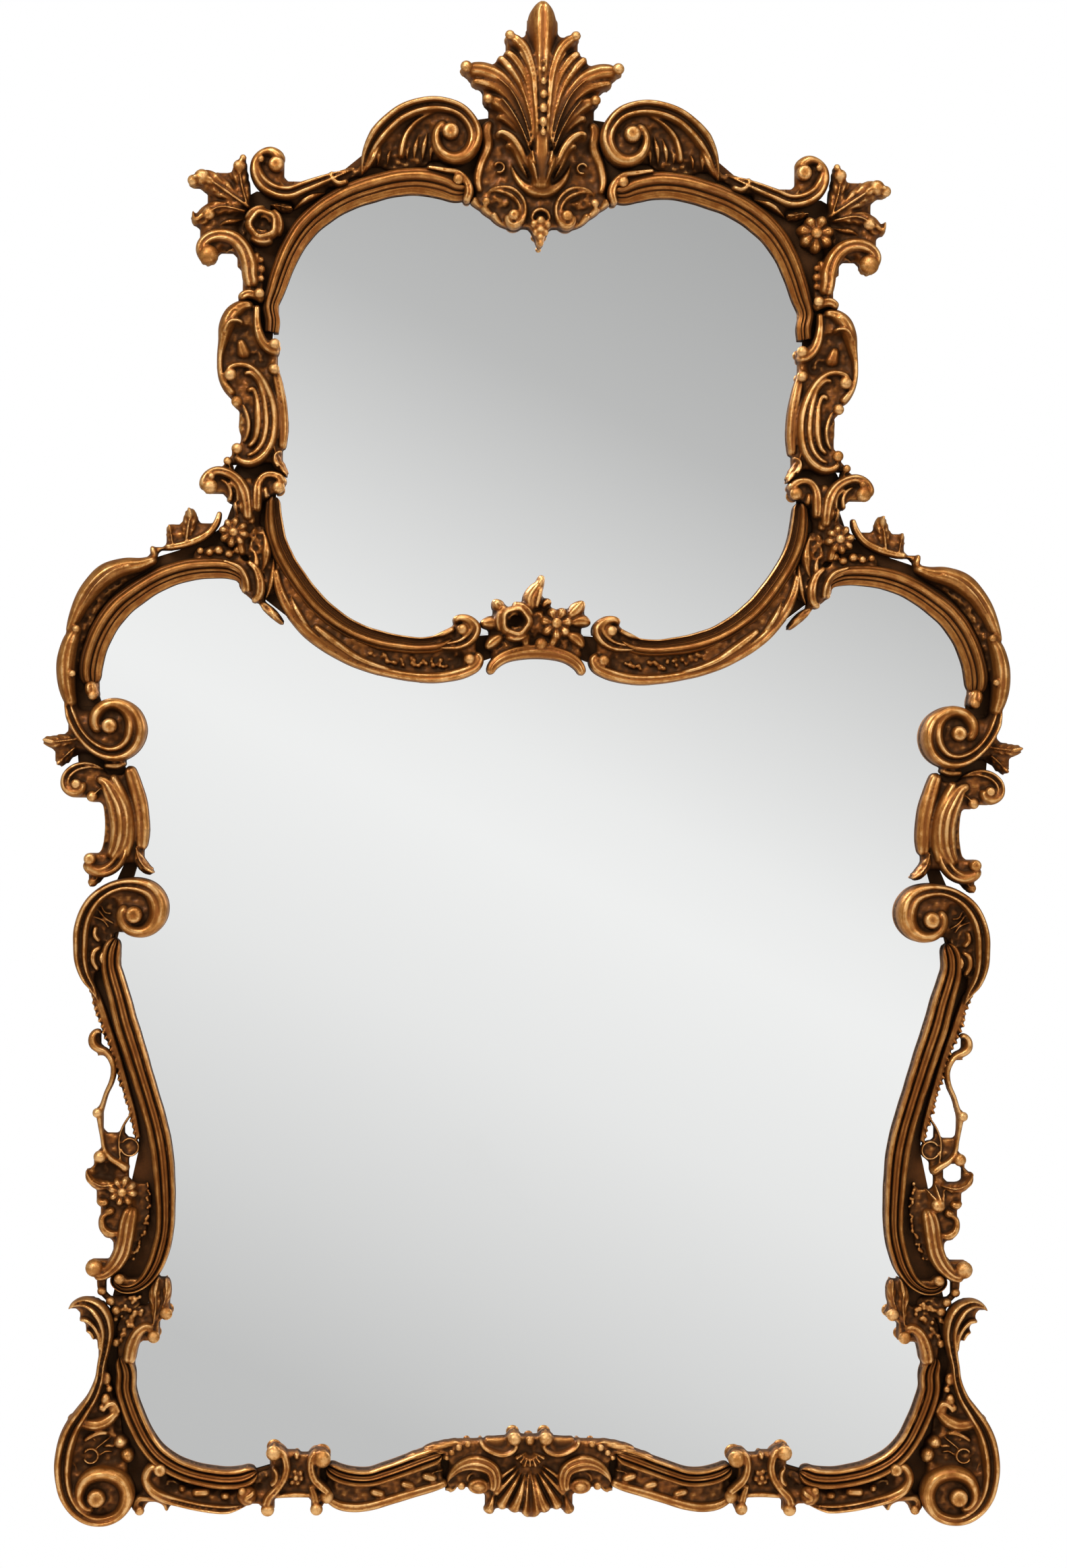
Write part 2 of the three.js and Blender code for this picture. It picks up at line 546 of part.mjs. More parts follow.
function sideFlower() {
  return [
    stroke([[602, 688, 8], [611, 681, 12], [611, 668, 14], [601, 660, 12], [589, 650, 12], [583, 635, 10],
      [588, 616, 8], [596, 598, 8], [603, 578, 11], [602, 556, 8], [599, 534, 8], [596, 518, 8],
      [588, 508, 12], [574, 500, 13], [562, 486, 14]], leafRelief * 0.5, { lift: 3 }),
    knob(604, 576, 8, leafRelief * 0.6, { lift: 2 }),
    knob(600, 513, 8, leafRelief * 0.6, { lift: 2 }),
    ...daisy(566, 466, 22, 7),
    stroke([[578, 472, 12], [598, 476, 16], [613, 484, 14], [618, 495, 6]], leafRelief * 0.8),
    stroke([[556, 444, 20], [565, 420, 26], [566, 398, 26], [572, 372, 24], [585, 353, 18],
      [601, 346, 14], [614, 352, 12]], scrollRelief),
    stroke([[570, 412, 16], [584, 412, 16], [595, 422, 13], [592, 435, 9]], leafRelief * 0.8),
    knob(608, 360, 12, scrollRelief),
    stroke([[602, 346, 10], [599, 327, 11], [587, 313, 11], [578, 294, 10]], groundRelief),
  ];
}

function cornerVolute() {
  return [
    ...scroll([[642, 301, 8], [633, 308, 14], [618, 308, 19], [603, 297, 22], [594, 278, 20],
      [593, 258, 16], [595, 235, 12], [599, 210, 12], [608, 186, 13], [624, 160, 18], [640, 134, 22],
      [650, 106, 22], [652, 76, 20], [647, 48, 19], [634, 26, 18], [612, 12, 18]],
    { eye: [597, 43], turn: -340, endRadius: 15, endWidth: 11, eyeRadius: 13 }, voluteRelief),
    stroke([[628, 287, 6], [616, 286, 9], [607, 276, 10]], leafRelief * 0.7),
    stroke([[588, 150, 22], [606, 140, 20], [628, 132, 18]], leafRelief * 0.7),
    ground([[564, 122, 14], [566, 96, 14], [592, 82, 30]]),
    ground([[594, 222, 8], [589, 190, 16], [583, 160, 24], [588, 122, 44], [597, 88, 60]]),
    bud(564, 108, [11, 20], 12, leafRelief * 0.7),
  ];
}

function cornerMoulding() {
  return [
    stroke([[571, 236, 20], [564, 214, 28], [564, 190, 29], [558, 168, 29], [548, 143, 29], [535, 118, 28],
      [518, 97, 28], [498, 83, 28], [475, 73, 28], [450, 67, 28], [425, 64, 28], [400, 66, 28],
      [380, 75, 26]], mouldingRelief, { section: 'moulding' }),
    stroke([[572, 230, 18], [570, 252, 16], [558, 272, 15], [540, 279, 13], [526, 274, 12]], leafRelief),
    knob(525, 265, 9, scrollRelief),
    knob(507, 297, 8.5, leafRelief),
    stroke([[520, 346, 10], [526, 322, 18], [520, 300, 16], [526, 278, 14]], leafRelief * 0.6),
    stroke([[506, 288, 10], [518, 300, 12]], leafRelief * 0.6),
  ];
}

function bottomBand() {
  return [
    ground([[350, 60, 44], [400, 48, 30]]),
    stroke([[528, 62, 12], [527, 48, 13], [514, 39, 13], [484, 34, 12], [450, 28, 12], [420, 25, 13],
      [398, 32, 14]], leafRelief * 0.8),
    stroke([[519, 82, 12], [531, 66, 16], [524, 46, 14]], leafRelief),
    ground([[508, 62, 14], [486, 50, 20], [455, 44, 21], [420, 43, 20], [396, 46, 16]]),
    knob(393, 42, 13, leafRelief * 0.9),
    stroke([[545, 22, 14], [546, 34, 12], [530, 38, 10], [512, 33, 10], [505, 18, 5]], leafRelief * 0.5),
  ];
}

function apron() {
  return [
    stroke([[284, 82, 18], [268, 72, 23], [245, 66, 24], [222, 66, 24], [198, 73, 25], [172, 82, 26],
      [148, 91, 27], [122, 100, 27]], mouldingRelief, { section: 'moulding' }),
    stroke([[284, 42, 12], [268, 31, 13], [245, 27, 13], [220, 30, 13], [190, 39, 13], [160, 48, 13],
      [132, 56, 12], [114, 61, 10]], leafRelief * 0.8),
    ground([[284, 58, 18], [262, 50, 24], [235, 44, 24], [205, 50, 24], [172, 60, 24], [140, 71, 22]]),
  ];
}

function clasp() {
  return [
    knob(357, 100, 9, scrollRelief),
    stroke([[356, 106, 9], [343, 98, 13], [339, 82, 14], [350, 62, 13], [364, 42, 13], [366, 24, 14]],
      scrollRelief),
    knob(289, 95, 10, scrollRelief),
    stroke([[291, 105, 9], [301, 92, 12], [302, 74, 12], [298, 52, 12], [297, 30, 13], [297, 24, 12]],
      scrollRelief),
    stroke([[362, 45, 18], [296, 45, 18]], groundRelief),
    stroke([[325, 44, 34], [325, 98, 48]], groundRelief),
  ];
}

function shell() {
  const flanks = [-1, 1].flatMap((half) => [
    ...scroll([[42, 54, 11], [43, 72, 13], [53, 87, 15], [72, 93, 16], [91, 86, 16]],
      { eye: [72, 60], turn: -250, endRadius: 14, endWidth: 10, eyeRadius: 13 }, scrollRelief),
    stroke([[112, 68, 16], [104, 84, 20], [88, 96, 16]], mouldingRelief),
    stroke([[72, 44, 14], [66, 30, 22], [60, 20, 24]], leafRelief * 0.8),
    knob(21, 127, 10, scrollRelief),
    stroke([[64, 114, 10], [44, 104, 16], [20, 116, 14]], leafRelief),
  ].map((piece) => mirroredPiece(piece, half)));
  return [
    { fan: [0, 98], ribs: 7, spread: 150, reach: 90, sideReach: 62, relief: shellRelief },
    stroke([[-62, 100, 30], [0, 102, 40], [62, 100, 30]], recessRelief),
    stroke([[0, 92, 22], [0, 127, 15]], leafRelief),
    ...flanks,
  ];
}

// A ribbed fan that hangs from its hinge: ribs stand out, grooves between them lie back and are shorter
function fanSolid({ fan, ribs, spread, reach, sideReach, relief }, grow) {
  const [x, z] = fan;
  const stations = 2 * ribs + 1;
  const rings = [];
  for (let k = 0; k < stations; k += 1) {
    const share = 2 * k / (stations - 1) - 1;
    const angle = THREE.MathUtils.degToRad(-90 + share * spread / 2);
    const onRib = k % 2 === 1;
    const radius = (reach + (sideReach - reach) * Math.abs(share)) * (onRib ? 1 : fanGroove.reach) + grow;
    const height = relief * (onRib ? 1 : fanGroove.relief) + grow;
    const at = (r, forward) => (
      [x + r * Math.cos(angle), wall.carving + grow - forward, z + r * Math.sin(angle)]);
    rings.push([at(fanGroove.hinge, 0), at(radius, 0), at(radius * fanGroove.crest, height)]);
  }
  const solid = solidOf(ringGeometry(rings, [[0, 1, 2]]));
  return solid.volume() < 0 ? flipped(rings, [[0, 1, 2]]) : solid;
}

function mirroredPiece(piece, half) {
  if (piece.rosette) return { ...piece, rosette: [half * piece.rosette[0], piece.rosette[1]] };
  if (piece.points) return { ...piece, points: piece.points.map(([x, z, width]) => [half * x, z, width]) };
  return { ...piece, at: [half * piece.at[0], piece.at[1]], tilt: half * (piece.tilt ?? 0) };
}

const bothSides = (pieces) => [...pieces, ...pieces.map((piece) => mirroredPiece(piece, -1))];

// Carved pieces in the order in which they are fitted: a later one is cut round those before it
const centrePieces = [
  ['crest_leaf', [...crestLeaf(), ...bothSides(crestCollar())]],
  ['middle_flowers', middleFlowers()],
  ['shell', shell()],
];
const sidePieces = [
  ['head_moulding', headMoulding()],
  ['shoulder_moulding', shoulderMoulding()],
  ['side_moulding', sideMoulding()],
  ['corner_moulding', cornerMoulding()],
  ['crest_scroll', [...crestScroll(), ...cornerScroll()]],
  ['corner_leaves', cornerLeaves()],
  ['waist_scroll', waistScroll()],
  ['middle_moulding', [...middleMoulding(), ...middleLeafBand()]],
  ['upper_side_scroll', upperSideScroll()],
  ['shoulder_volute', shoulderVolute()],
  ['side_volute', sideVolute()],
  ['side_scroll', sideScroll()],
  ['side_flower', sideFlower()],
  ['corner_volute', cornerVolute()],
  ['bottom_clasp', [...clasp(), ...bottomBand()]],
  ['apron', apron()],
];

function carvedNodes() {
  const jobs = [
    { name: 'corner_rose_left', pieces: cornerRose(), side: -1 },
    { name: 'corner_daisy_right', pieces: cornerDaisy(), side: 1 },
    ...centrePieces.map(([name, pieces]) => ({ name, pieces, side: 1 })),
    ...sidePieces.flatMap(([name, pieces]) => [
      { name: `${name}_left`, pieces, side: -1 },
      { name: `${name}_right`, pieces, side: 1 },
    ]),
  ];
  const fitted = [];
  for (const job of jobs) {
    let solid = carved(job.pieces, job.side);
    for (const earlier of fitted) {
      if (boxesMeet(solid.boundingBox(), earlier.grown.boundingBox())) solid = solid.subtract(earlier.grown);
    }
    fitted.push({
      name: job.name,
      solid: largestBody(solid),
      grown: carved(job.pieces, job.side, clearance),
    });
  }
  return fitted.map(({ name, solid }) => meshOf(name, geometryOf(solid), finishes.gilt));
}

// A cut can leave slivers beside a piece: only the piece itself is kept
function largestBody(solid) {
  return solid.decompose().sort((a, b) => b.volume() - a.volume())[0];
}

function boxesMeet(a, b) {
  return a.min.every((low, axis) => low < b.max[axis]) && b.min.every((low, axis) => low < a.max[axis]);
}

function meshOf(name, geometry, material) {
  const mesh = new THREE.Mesh(geometry, material);
  mesh.name = name;
  return mesh;
}

// Closed outline from a half outline, moved out or in by an amount
function outlineOf(half, outset = 0) {
  const right = half.map(([x, z]) => new THREE.Vector2(x, z));
  const left = half.slice(1, -1).reverse().map(([x, z]) => new THREE.Vector2(-x, z));
  const hand = [...right, ...left].map((point) => new THREE.Vector3(point.x, point.y, 0));
  const curve = new THREE.CatmullRomCurve3(hand, true, 'centripetal');
  const points = curve.getPoints(Math.round(hand.length * outlineSteps)).slice(0, -1);
  return points.map((point, k) => {
    const before = points[(k + points.length - 1) % points.length];
    const after = points[(k + 1) % points.length];
    const length = Math.hypot(after.x - before.x, after.y - before.y);
    const normal = { x: (after.y - before.y) / length, z: -(after.x - before.x) / length };
    return new THREE.Vector2(point.x + normal.x * outset, point.y + normal.z * outset);
  });
}

// Upright slab with the given outline between two distances from the wall
function slab(outline, back, front, holes = []) {
  const shape = new THREE.Shape(outline);
  shape.holes = holes.map((hole) => new THREE.Path(hole));
  const geometry = new THREE.ExtrudeGeometry(shape, { depth: back - front, bevelEnabled: false });
  geometry.rotateX(Math.PI / 2);
  geometry.translate(0, back, 0);
  return solidOf(geometry);
}

function block(xLow, xHigh, yLow, yHigh, zLow, zHigh) {
  const geometry = new THREE.BoxGeometry(xHigh - xLow, yHigh - yLow, zHigh - zLow);
  geometry.translate((xLow + xHigh) / 2, (yLow + yHigh) / 2, (zLow + zHigh) / 2);
  return solidOf(geometry);
}

// Pine carcass, sawn into sections that meet at the joint lines
function carcassNodes() {
  const rebates = [outlineOf(upperPlateEdge, plateFit), outlineOf(lowerPlateEdge, plateFit)];
  let whole = slab(outlineOf(carcassEdge), 0, wall.front, rebates);
  for (const side of [-1, 1]) {
    whole = whole.subtract(hangerPocket(side)).subtract(screwBody(hangerSeat(side), clearance));
  }
  const gap = clearance / 2;
  const cut = (xLow, xHigh, zLow, zHigh) => whole.intersect(
    block(xLow + gap, xHigh - gap, -far, far, zLow + gap, zHigh - gap));
  const pieces = [
    ['bottom_rail', cut(-bottomRailHalfLength, bottomRailHalfLength, -far, bottomRailTop)],
    ['middle_rail', cut(-middleRailHalfLength, middleRailHalfLength, bottomRailTop, shoulderTop)],
    ['head_rail', cut(-far, far, headRailFoot, far)],
  ];
  for (const [word, low, high] of [['left', -far, 0], ['right', 0, far]]) {
    const sign = word === 'left' ? -1 : 1;
    const outer = (inner) => (sign < 0 ? [low, -inner] : [inner, high]);
    pieces.push([`lower_stile_${word}`, joined([
      cut(...outer(bottomRailHalfLength), -far, shoulderFoot),
      cut(...outer(bottomRailHalfLength + 1), bottomRailTop, shoulderFoot)])]);
    pieces.push([`shoulder_block_${word}`, cut(...outer(middleRailHalfLength), shoulderFoot, shoulderTop)]);
    pieces.push([`upper_stile_${word}`, cut(...outer(0), shoulderTop, headRailFoot)]);
  }
  return pieces.map(([name, solid]) => meshOf(name, geometryOf(largestBody(solid)), finishes.pine));
}

function glazingNodes() {
  const nodes = [];
  const plates = [
    ['upper', upperPlateEdge, upperBattenHeights],
    ['lower', lowerPlateEdge, lowerBattenHeights],
  ];
  for (const [word, edge, battenHeights] of plates) {
    const outline = outlineOf(edge);
    nodes.push(meshOf(`${word}_plate`, geometryOf(slab(outline, wall.plateBack, wall.front)),
      finishes.silvering));
    nodes.push(meshOf(`${word}_backboard`, geometryOf(slab(outline, wall.boardBack, wall.boardFront)),
      finishes.board));
    const battenFront = wall.boardBack + clearance;
    const inside = slab(outlineOf(edge, plateFit - clearance), battenFront + battenThickness, battenFront);
    battenHeights.forEach((z, k) => {
      const bar = inside.intersect(block(-far, far, -far, far, z - battenHeight / 2, z + battenHeight / 2));
      const number = battenHeights.length > 1 ? `_${k + 1}` : '';
      nodes.push(meshOf(`${word}_batten${number}`, geometryOf(bar), finishes.pine));
    });
  }
  return nodes;
}

// Where a hanger sits: its centre line, the strap's back, the ring's axis and the screw's height
function hangerSeat(side) {
  const strapBack = -pocket.depth + clearance;
  return {
    x: side * hangerPlace.x,
    strapBack,
    strapFront: strapBack + strap.thickness,
    axisY: strapBack + strap.thickness + clearance + ring.wire,
    axisZ: hangerPlace.z,
    screwZ: hangerPlace.z - strap.screwDrop,
  };
}

function hangerPocket(side) {
  const { x } = hangerSeat(side);
  const half = pocket.width / 2;
  return block(x - half, x + half, -pocket.depth, pocket.depth,
    hangerPlace.z - strap.length - pocket.room, hangerPlace.z + ring.reach + ring.wire + pocket.room);
}

// Strap hanger with its folded barrel, the D-shaped ring that swings in it, and its screw
function hangerNodes(side, word) {
  const seat = hangerSeat(side);
  const { x, axisY, axisZ } = seat;
  const boreRadius = ring.wire + boreFit;
  const halfBarrel = barrel.length / 2;
  const tube = new THREE.LatheGeometry([
    new THREE.Vector2(boreRadius, -halfBarrel),
    new THREE.Vector2(barrel.radius, -halfBarrel),
    new THREE.Vector2(barrel.radius, halfBarrel),
    new THREE.Vector2(boreRadius, halfBarrel),
    new THREE.Vector2(boreRadius, -halfBarrel),
  ], barrel.sides);
  tube.rotateZ(Math.PI / 2);
  tube.translate(x, axisY, axisZ);
  const bore = new THREE.CylinderGeometry(boreRadius, boreRadius, strap.width + 1, barrel.sides);
  bore.rotateZ(Math.PI / 2);
  bore.translate(x, axisY, axisZ);
  const plate = block(x - strap.width / 2, x + strap.width / 2, seat.strapBack, seat.strapFront,
    axisZ - strap.length, axisZ + strap.aboveAxis);
  const strapSolid = plate.add(solidOf(tube)).subtract(solidOf(bore)).subtract(screwBody(seat, clearance));
  return [
    meshOf(`hanger_strap_${word}`, geometryOf(strapSolid), finishes.iron),
    meshOf(`hanger_ring_${word}`, ringWire(x, axisY, axisZ), finishes.brass),
    meshOf(`hanger_screw_${word}`, geometryOf(screwBody(seat, 0)), finishes.brass),
  ];
}

// Countersunk wood screw through the strap into the stile, its head towards the wall
function screwBody(seat, grow) {
  const profile = [
    new THREE.Vector2(0, -screw.length - grow),
    new THREE.Vector2(screw.shankRadius + grow, -screw.length + screw.point - grow),
    new THREE.Vector2(screw.shankRadius + grow, -screw.headHeight),
    new THREE.Vector2(screw.headRadius + grow, 0),
    new THREE.Vector2(screw.headRadius + grow, grow),
    new THREE.Vector2(0, screw.dome + grow),
  ];
  if (grow === 0) profile.splice(4, 1);
  const geometry = new THREE.LatheGeometry(profile, screw.sides);
  geometry.translate(seat.x, seat.strapFront, seat.screwZ);
  return solidOf(geometry);
}

// The D-shaped ring, hanging from its straight bar, which lies in the barrel
function ringWire(x, y, z) {
  const half = ring.width / 2;
  const { corner, straight } = ring;
  const cut = corner * (1 - Math.SQRT1_2);
  const path = [[half - corner, 0], [half - cut, -cut], [half, -corner], [half, -straight]];
  const points = path.map(([dx, dz]) => new THREE.Vector3(x + dx, y, z + dz));
  for (let k = 1; k < ring.bowSteps; k += 1) {
    const angle = Math.PI * k / ring.bowSteps;
    points.push(new THREE.Vector3(x + half * Math.cos(angle), y,
      z - straight - (ring.reach - straight) * Math.sin(angle)));
  }
  for (const [dx, dz] of path.slice().reverse()) points.push(new THREE.Vector3(x - dx, y, z + dz));
  return closedWire(points, ring.wire, ring.sides);
}

// Round wire along a closed flat loop that faces the wall
function closedWire(points, radius, sides) {
  const positions = [];
  const index = [];
  const count = points.length;
  points.forEach((point, k) => {
    const before = points[(k + count - 1) % count];
    const after = points[(k + 1) % count];
    const along = after.clone().sub(before).normalize();
    const across = new THREE.Vector3(-along.z, 0, along.x);
    for (let s = 0; s < sides; s += 1) {
      const angle = 2 * Math.PI * s / sides;
      positions.push(point.x + across.x * radius * Math.cos(angle), point.y + radius * Math.sin(angle),
        point.z + across.z * radius * Math.cos(angle));
      const a = k * sides + s;
      const b = k * sides + (s + 1) % sides;
      const c = ((k + 1) % count) * sides + s;
      const d = ((k + 1) % count) * sides + (s + 1) % sides;
      index.push(a, c, b, b, c, d);
    }
  });
  const geometry = new THREE.BufferGeometry();
  geometry.setAttribute('position', new THREE.Float32BufferAttribute(positions, 3));
  geometry.setIndex(index);
  geometry.computeVertexNormals();
  return geometry;
}

export default (() => {
  const group = new THREE.Group();
  const model = new THREE.Group();
  model.position.z = -mountHeight;
  group.add(model);
  model.add(...carcassNodes(), ...glazingNodes(), ...carvedNodes());
  model.add(...hangerNodes(-1, 'left'), ...hangerNodes(1, 'right'));
  return group;
})();
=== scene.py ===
import math
import bpy
import numpy as np
from mathutils import Matrix, Vector
from mathutils.kdtree import KDTree


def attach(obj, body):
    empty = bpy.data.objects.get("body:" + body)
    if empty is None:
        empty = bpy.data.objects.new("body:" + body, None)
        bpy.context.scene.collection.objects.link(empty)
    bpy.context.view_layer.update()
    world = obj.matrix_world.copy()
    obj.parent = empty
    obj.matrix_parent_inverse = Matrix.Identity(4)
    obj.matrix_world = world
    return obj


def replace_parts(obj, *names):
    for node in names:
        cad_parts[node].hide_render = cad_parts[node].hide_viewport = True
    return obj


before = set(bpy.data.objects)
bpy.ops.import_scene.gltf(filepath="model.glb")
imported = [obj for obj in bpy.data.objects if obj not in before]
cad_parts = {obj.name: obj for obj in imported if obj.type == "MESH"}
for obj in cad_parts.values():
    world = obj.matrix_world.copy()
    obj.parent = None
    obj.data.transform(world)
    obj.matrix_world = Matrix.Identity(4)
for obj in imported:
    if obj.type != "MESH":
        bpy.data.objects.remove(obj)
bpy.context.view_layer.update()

# Heights and distances below are millimetres. Points are given as the distance from the centre line,
# height above the lowest volute, then the width of the carved stroke there
# and, if given, the share of its relief that it has there.
mountHeight = 1900  # the wall fixing, which is the frame's origin
carvingBack = 32.3  # from the wall to the back of the carving
sectionPoints = 26
chisel = {
    "step": 2.2,  # length of mesh between two sections of a stroke
    "voxel": 0.0014,  # metres; strokes that are carved from one block are melted together at this fineness
    "softening": 3,
    "reach": 7,  # rounds of averaging over which a ridge or a groove is told from its neighbourhood
    "ridge": 0.55,  # height above that neighbourhood which counts as a full ridge
    "ridgeCap": 0.7,  # the most that a ridge counts, also towards the painted highlight
    "crisp": ("moulding", "beadedMoulding", "sideMoulding"),  # sections that keep their sharp quirks
    "plump": 1.14,  # how much wider than drawn a stroke is carved, so that neighbours touch
    "ends": {"round": 0.5, "point": 2.2},  # length of an end, in widths of the stroke
    "undercut": 0.86,  # width of a stroke's back
    "wave": 0.35,  # height of the slow waves that the carver's hand leaves
}
smallStep, petalStep = 1.6, 1.2  # length of mesh between two sections of a small stroke and of a petal
ground = {
    "cell": 2.0,
    "reach": 5,  # cells; gaps of up to twice this are filled
    "share": 0.6,  # of the height of the forms around
    "rough": 1.7,
    "lowest": 1.5,
}

print("stage: frame loaded")


def smoothPath(rows, step=chisel["step"]):
    # centripetal Catmull-Rom through rows of any length, then even spacing along x and z
    rows = np.asarray(rows, float)
    rows = np.vstack([2 * rows[0] - rows[1], rows, 2 * rows[-1] - rows[-2]])
    gaps = np.sqrt(np.linalg.norm(np.diff(rows[:, :2], axis=0), axis=1) + 1e-6)
    pieces = []
    for k in range(1, len(rows) - 2):
        a, b, c, d = rows[k - 1 : k + 3]
        ta, tb, tc = 0.0, gaps[k - 1], gaps[k - 1] + gaps[k]
        td = tc + gaps[k + 1]
        t = np.linspace(tb, tc, 12, endpoint=False)[:, None]
        ab = ((tb - t) * a + (t - ta) * b) / (tb - ta)
        bc = ((tc - t) * b + (t - tb) * c) / (tc - tb)
        cd = ((td - t) * c + (t - tc) * d) / (td - tc)
        abc = ((tc - t) * ab + (t - ta) * bc) / (tc - ta)
        bcd = ((td - t) * bc + (t - tb) * cd) / (td - tb)
        pieces.append(((tc - t) * abc + (t - tb) * bcd) / (tc - tb))
    fine = np.vstack(pieces + [rows[-2:-1]])
    run = np.concatenate([[0], np.cumsum(np.linalg.norm(np.diff(fine[:, :2], axis=0), axis=1))])
    count = max(6, int(round(run[-1] / step)))
    places = np.linspace(0, run[-1], count + 1)
    return np.column_stack([np.interp(places, run, column) for column in fine.T]), places


def sideways(path):
    # unit vectors to the left of the way along a path
    along = np.gradient(path[:, :2], axis=0)
    along /= np.linalg.norm(along, axis=1)[:, None] + 1e-9
    return np.column_stack([-along[:, 1], along[:, 0]])


def withRise(rows):
    return [list(row) + ([1.0] if len(row) == 3 else []) for row in rows]


def smoothStep(low, high, value):
    share = np.clip((value - low) / (high - low), 0, 1)
    return share * share * (3 - 2 * share)


def blurred(values, reach):
    # running average across a section or a grid, with its ends held
    kernel = np.hanning(2 * reach + 3)[1:-1]
    kernel /= kernel.sum()
    padded = np.concatenate([np.repeat(values[:1], reach, axis=0), values,
                             np.repeat(values[-1:], reach, axis=0)])
    return np.apply_along_axis(lambda line: np.convolve(line, kernel, "valid"), 0, padded)


# Sections, from the left edge of a stroke to its right edge: places -1 to 1 and heights 0 to 1


def section(knots, count=sectionPoints):
    knots = np.asarray(knots, float)
    places = np.linspace(-1, 1, count)
    fine = np.linspace(-1, 1, 400)
    dense = np.interp(fine, knots[:, 0], knots[:, 1])
    dense = blurred(dense[:, None], 5)[:, 0]
    heights = np.interp(places, fine, dense)
    heights[0], heights[-1] = knots[0, 1], knots[-1, 1]
    return places, heights


def beadSection(count=sectionPoints, fullness=2.4):
    places = -np.cos(np.linspace(0, math.pi, count))
    return places, (1 - np.abs(places) ** fullness) ** (1 / fullness)


def reededSection(reeds, depth=0.16, dome=0.25):
    places = np.linspace(-1, 1, 9 * reeds + 1)
    share = (places + 1) / 2 * reeds
    reed = np.abs(np.sin(math.pi * share)) ** 0.7
    body = 1 - dome * np.abs(places) ** 2.2
    heights = body * (1 - depth + depth * reed)
    edge = smoothStep(0, 0.12, 1 - np.abs(places))
    return places, heights * (0.25 + 0.75 * edge)


sections = {
    "bead": beadSection(),
    "flat": section([(-1, 0.2), (-0.9, 0.75), (-0.55, 1), (0.55, 1), (0.9, 0.75), (1, 0.2)]),
    # the outer edge of a scroll is at -1: broad outer reed, groove, lower inner reed
    "scroll": section([(-1, 0.25), (-0.95, 0.62), (-0.82, 0.88), (-0.6, 1), (-0.38, 0.97), (-0.2, 0.84),
                       (-0.1, 0.7), (0, 0.66), (0.1, 0.72), (0.24, 0.84), (0.45, 0.92), (0.66, 0.88),
                       (0.84, 0.72), (0.94, 0.5), (1, 0.2)], 34),
    "snail": section([(-1, 0.3), (-0.93, 0.68), (-0.75, 0.86), (-0.4, 0.97), (-0.1, 1), (0.2, 0.97),
                      (0.5, 0.88), (0.8, 0.7), (0.94, 0.5), (1, 0.2)], 34),
    "lobe": section([(-1, 0.25), (-0.88, 0.62), (-0.6, 0.88), (-0.25, 1), (0, 0.93), (0.25, 1), (0.6, 0.88),
                     (0.88, 0.62), (1, 0.25)], 18),
    "petal": section([(-1, 0.45), (-0.85, 0.85), (-0.6, 1), (-0.2, 0.8), (0, 0.7), (0.2, 0.8), (0.6, 1),
                      (0.85, 0.85), (1, 0.45)], 14),
    # the outer side of a cupped petal is at -1
    "cup": section([(-1, 0.5), (-0.9, 0.9), (-0.65, 1), (-0.2, 0.85), (0.4, 0.6), (1, 0.45)], 14),
    "threeReeds": reededSection(3),
    "twoReeds": reededSection(2),
    # sight edge at -1: bevel, quirk, flat band, quirk, bright ridge, outer slope
    "moulding": section([(-1, 0.2), (-0.985, 0.36), (-0.9, 0.42), (-0.5, 0.52), (-0.44, 0.42), (-0.4, 0.5),
                         (-0.3, 0.6), (-0.12, 0.61), (-0.06, 0.5), (-0.02, 0.54), (0.06, 0.76),
                         (0.18, 0.94), (0.32, 1), (0.46, 0.96), (0.6, 0.82), (0.65, 0.66), (0.69, 0.68),
                         (0.8, 0.62), (0.93, 0.45), (1, 0.15)], 64),
    # the same with a bead at the sight edge and a cove with fine lines
    "beadedMoulding": section([(-1, 0.25), (-0.97, 0.52), (-0.88, 0.68), (-0.78, 0.66), (-0.7, 0.48),
                               (-0.6, 0.5), (-0.56, 0.43), (-0.45, 0.48), (-0.41, 0.42), (-0.28, 0.5),
                               (-0.2, 0.58), (-0.15, 0.5), (-0.06, 0.7), (0.08, 0.92), (0.24, 1),
                               (0.4, 0.95), (0.52, 0.8), (0.58, 0.62), (0.66, 0.66), (0.82, 0.58),
                               (0.94, 0.4), (1, 0.15)], 64),
    # flatter: a bright band at the sight edge and two reeded bands outside it
    "sideMoulding": section([(-1, 0.3), (-0.96, 0.66), (-0.86, 0.84), (-0.68, 0.86), (-0.56, 0.72),
                             (-0.5, 0.5), (-0.45, 0.56), (-0.36, 0.7), (-0.2, 0.76), (-0.13, 0.71),
                             (-0.06, 0.79), (0.08, 0.84), (0.2, 0.78), (0.27, 0.58), (0.32, 0.62),
                             (0.42, 0.88), (0.58, 1), (0.74, 0.96), (0.86, 0.78), (0.95, 0.5), (1, 0.2)],
                            64),
}
groundWaves = ((23.0, 0.34), (14.0, 0.3), (9.0, 0.22), (5.5, 0.14))  # length and share of each


def lumps(x, z):
    # uneven ground, about -1 to 1, the same for every piece
    total = np.zeros(np.shape(x))
    for k, (length, share) in enumerate(groundWaves):
        for turn in (0.4, 1.5, 2.6):
            angle = turn + 0.7 * k
            across = (x * math.cos(angle) + z * math.sin(angle)) * 2 * math.pi / length
            total = total + share / 1.6 * np.sin(across + 2.1 * k * turn)
    return total


def sectionRidge(heights):
    # how far each point of a section stands above its neighbourhood, about -1 to 1
    reach = max(1, len(heights) // 7)
    difference = heights - blurred(heights[:, None], reach)[:, 0]
    return np.clip(difference * 6, -1, 1)


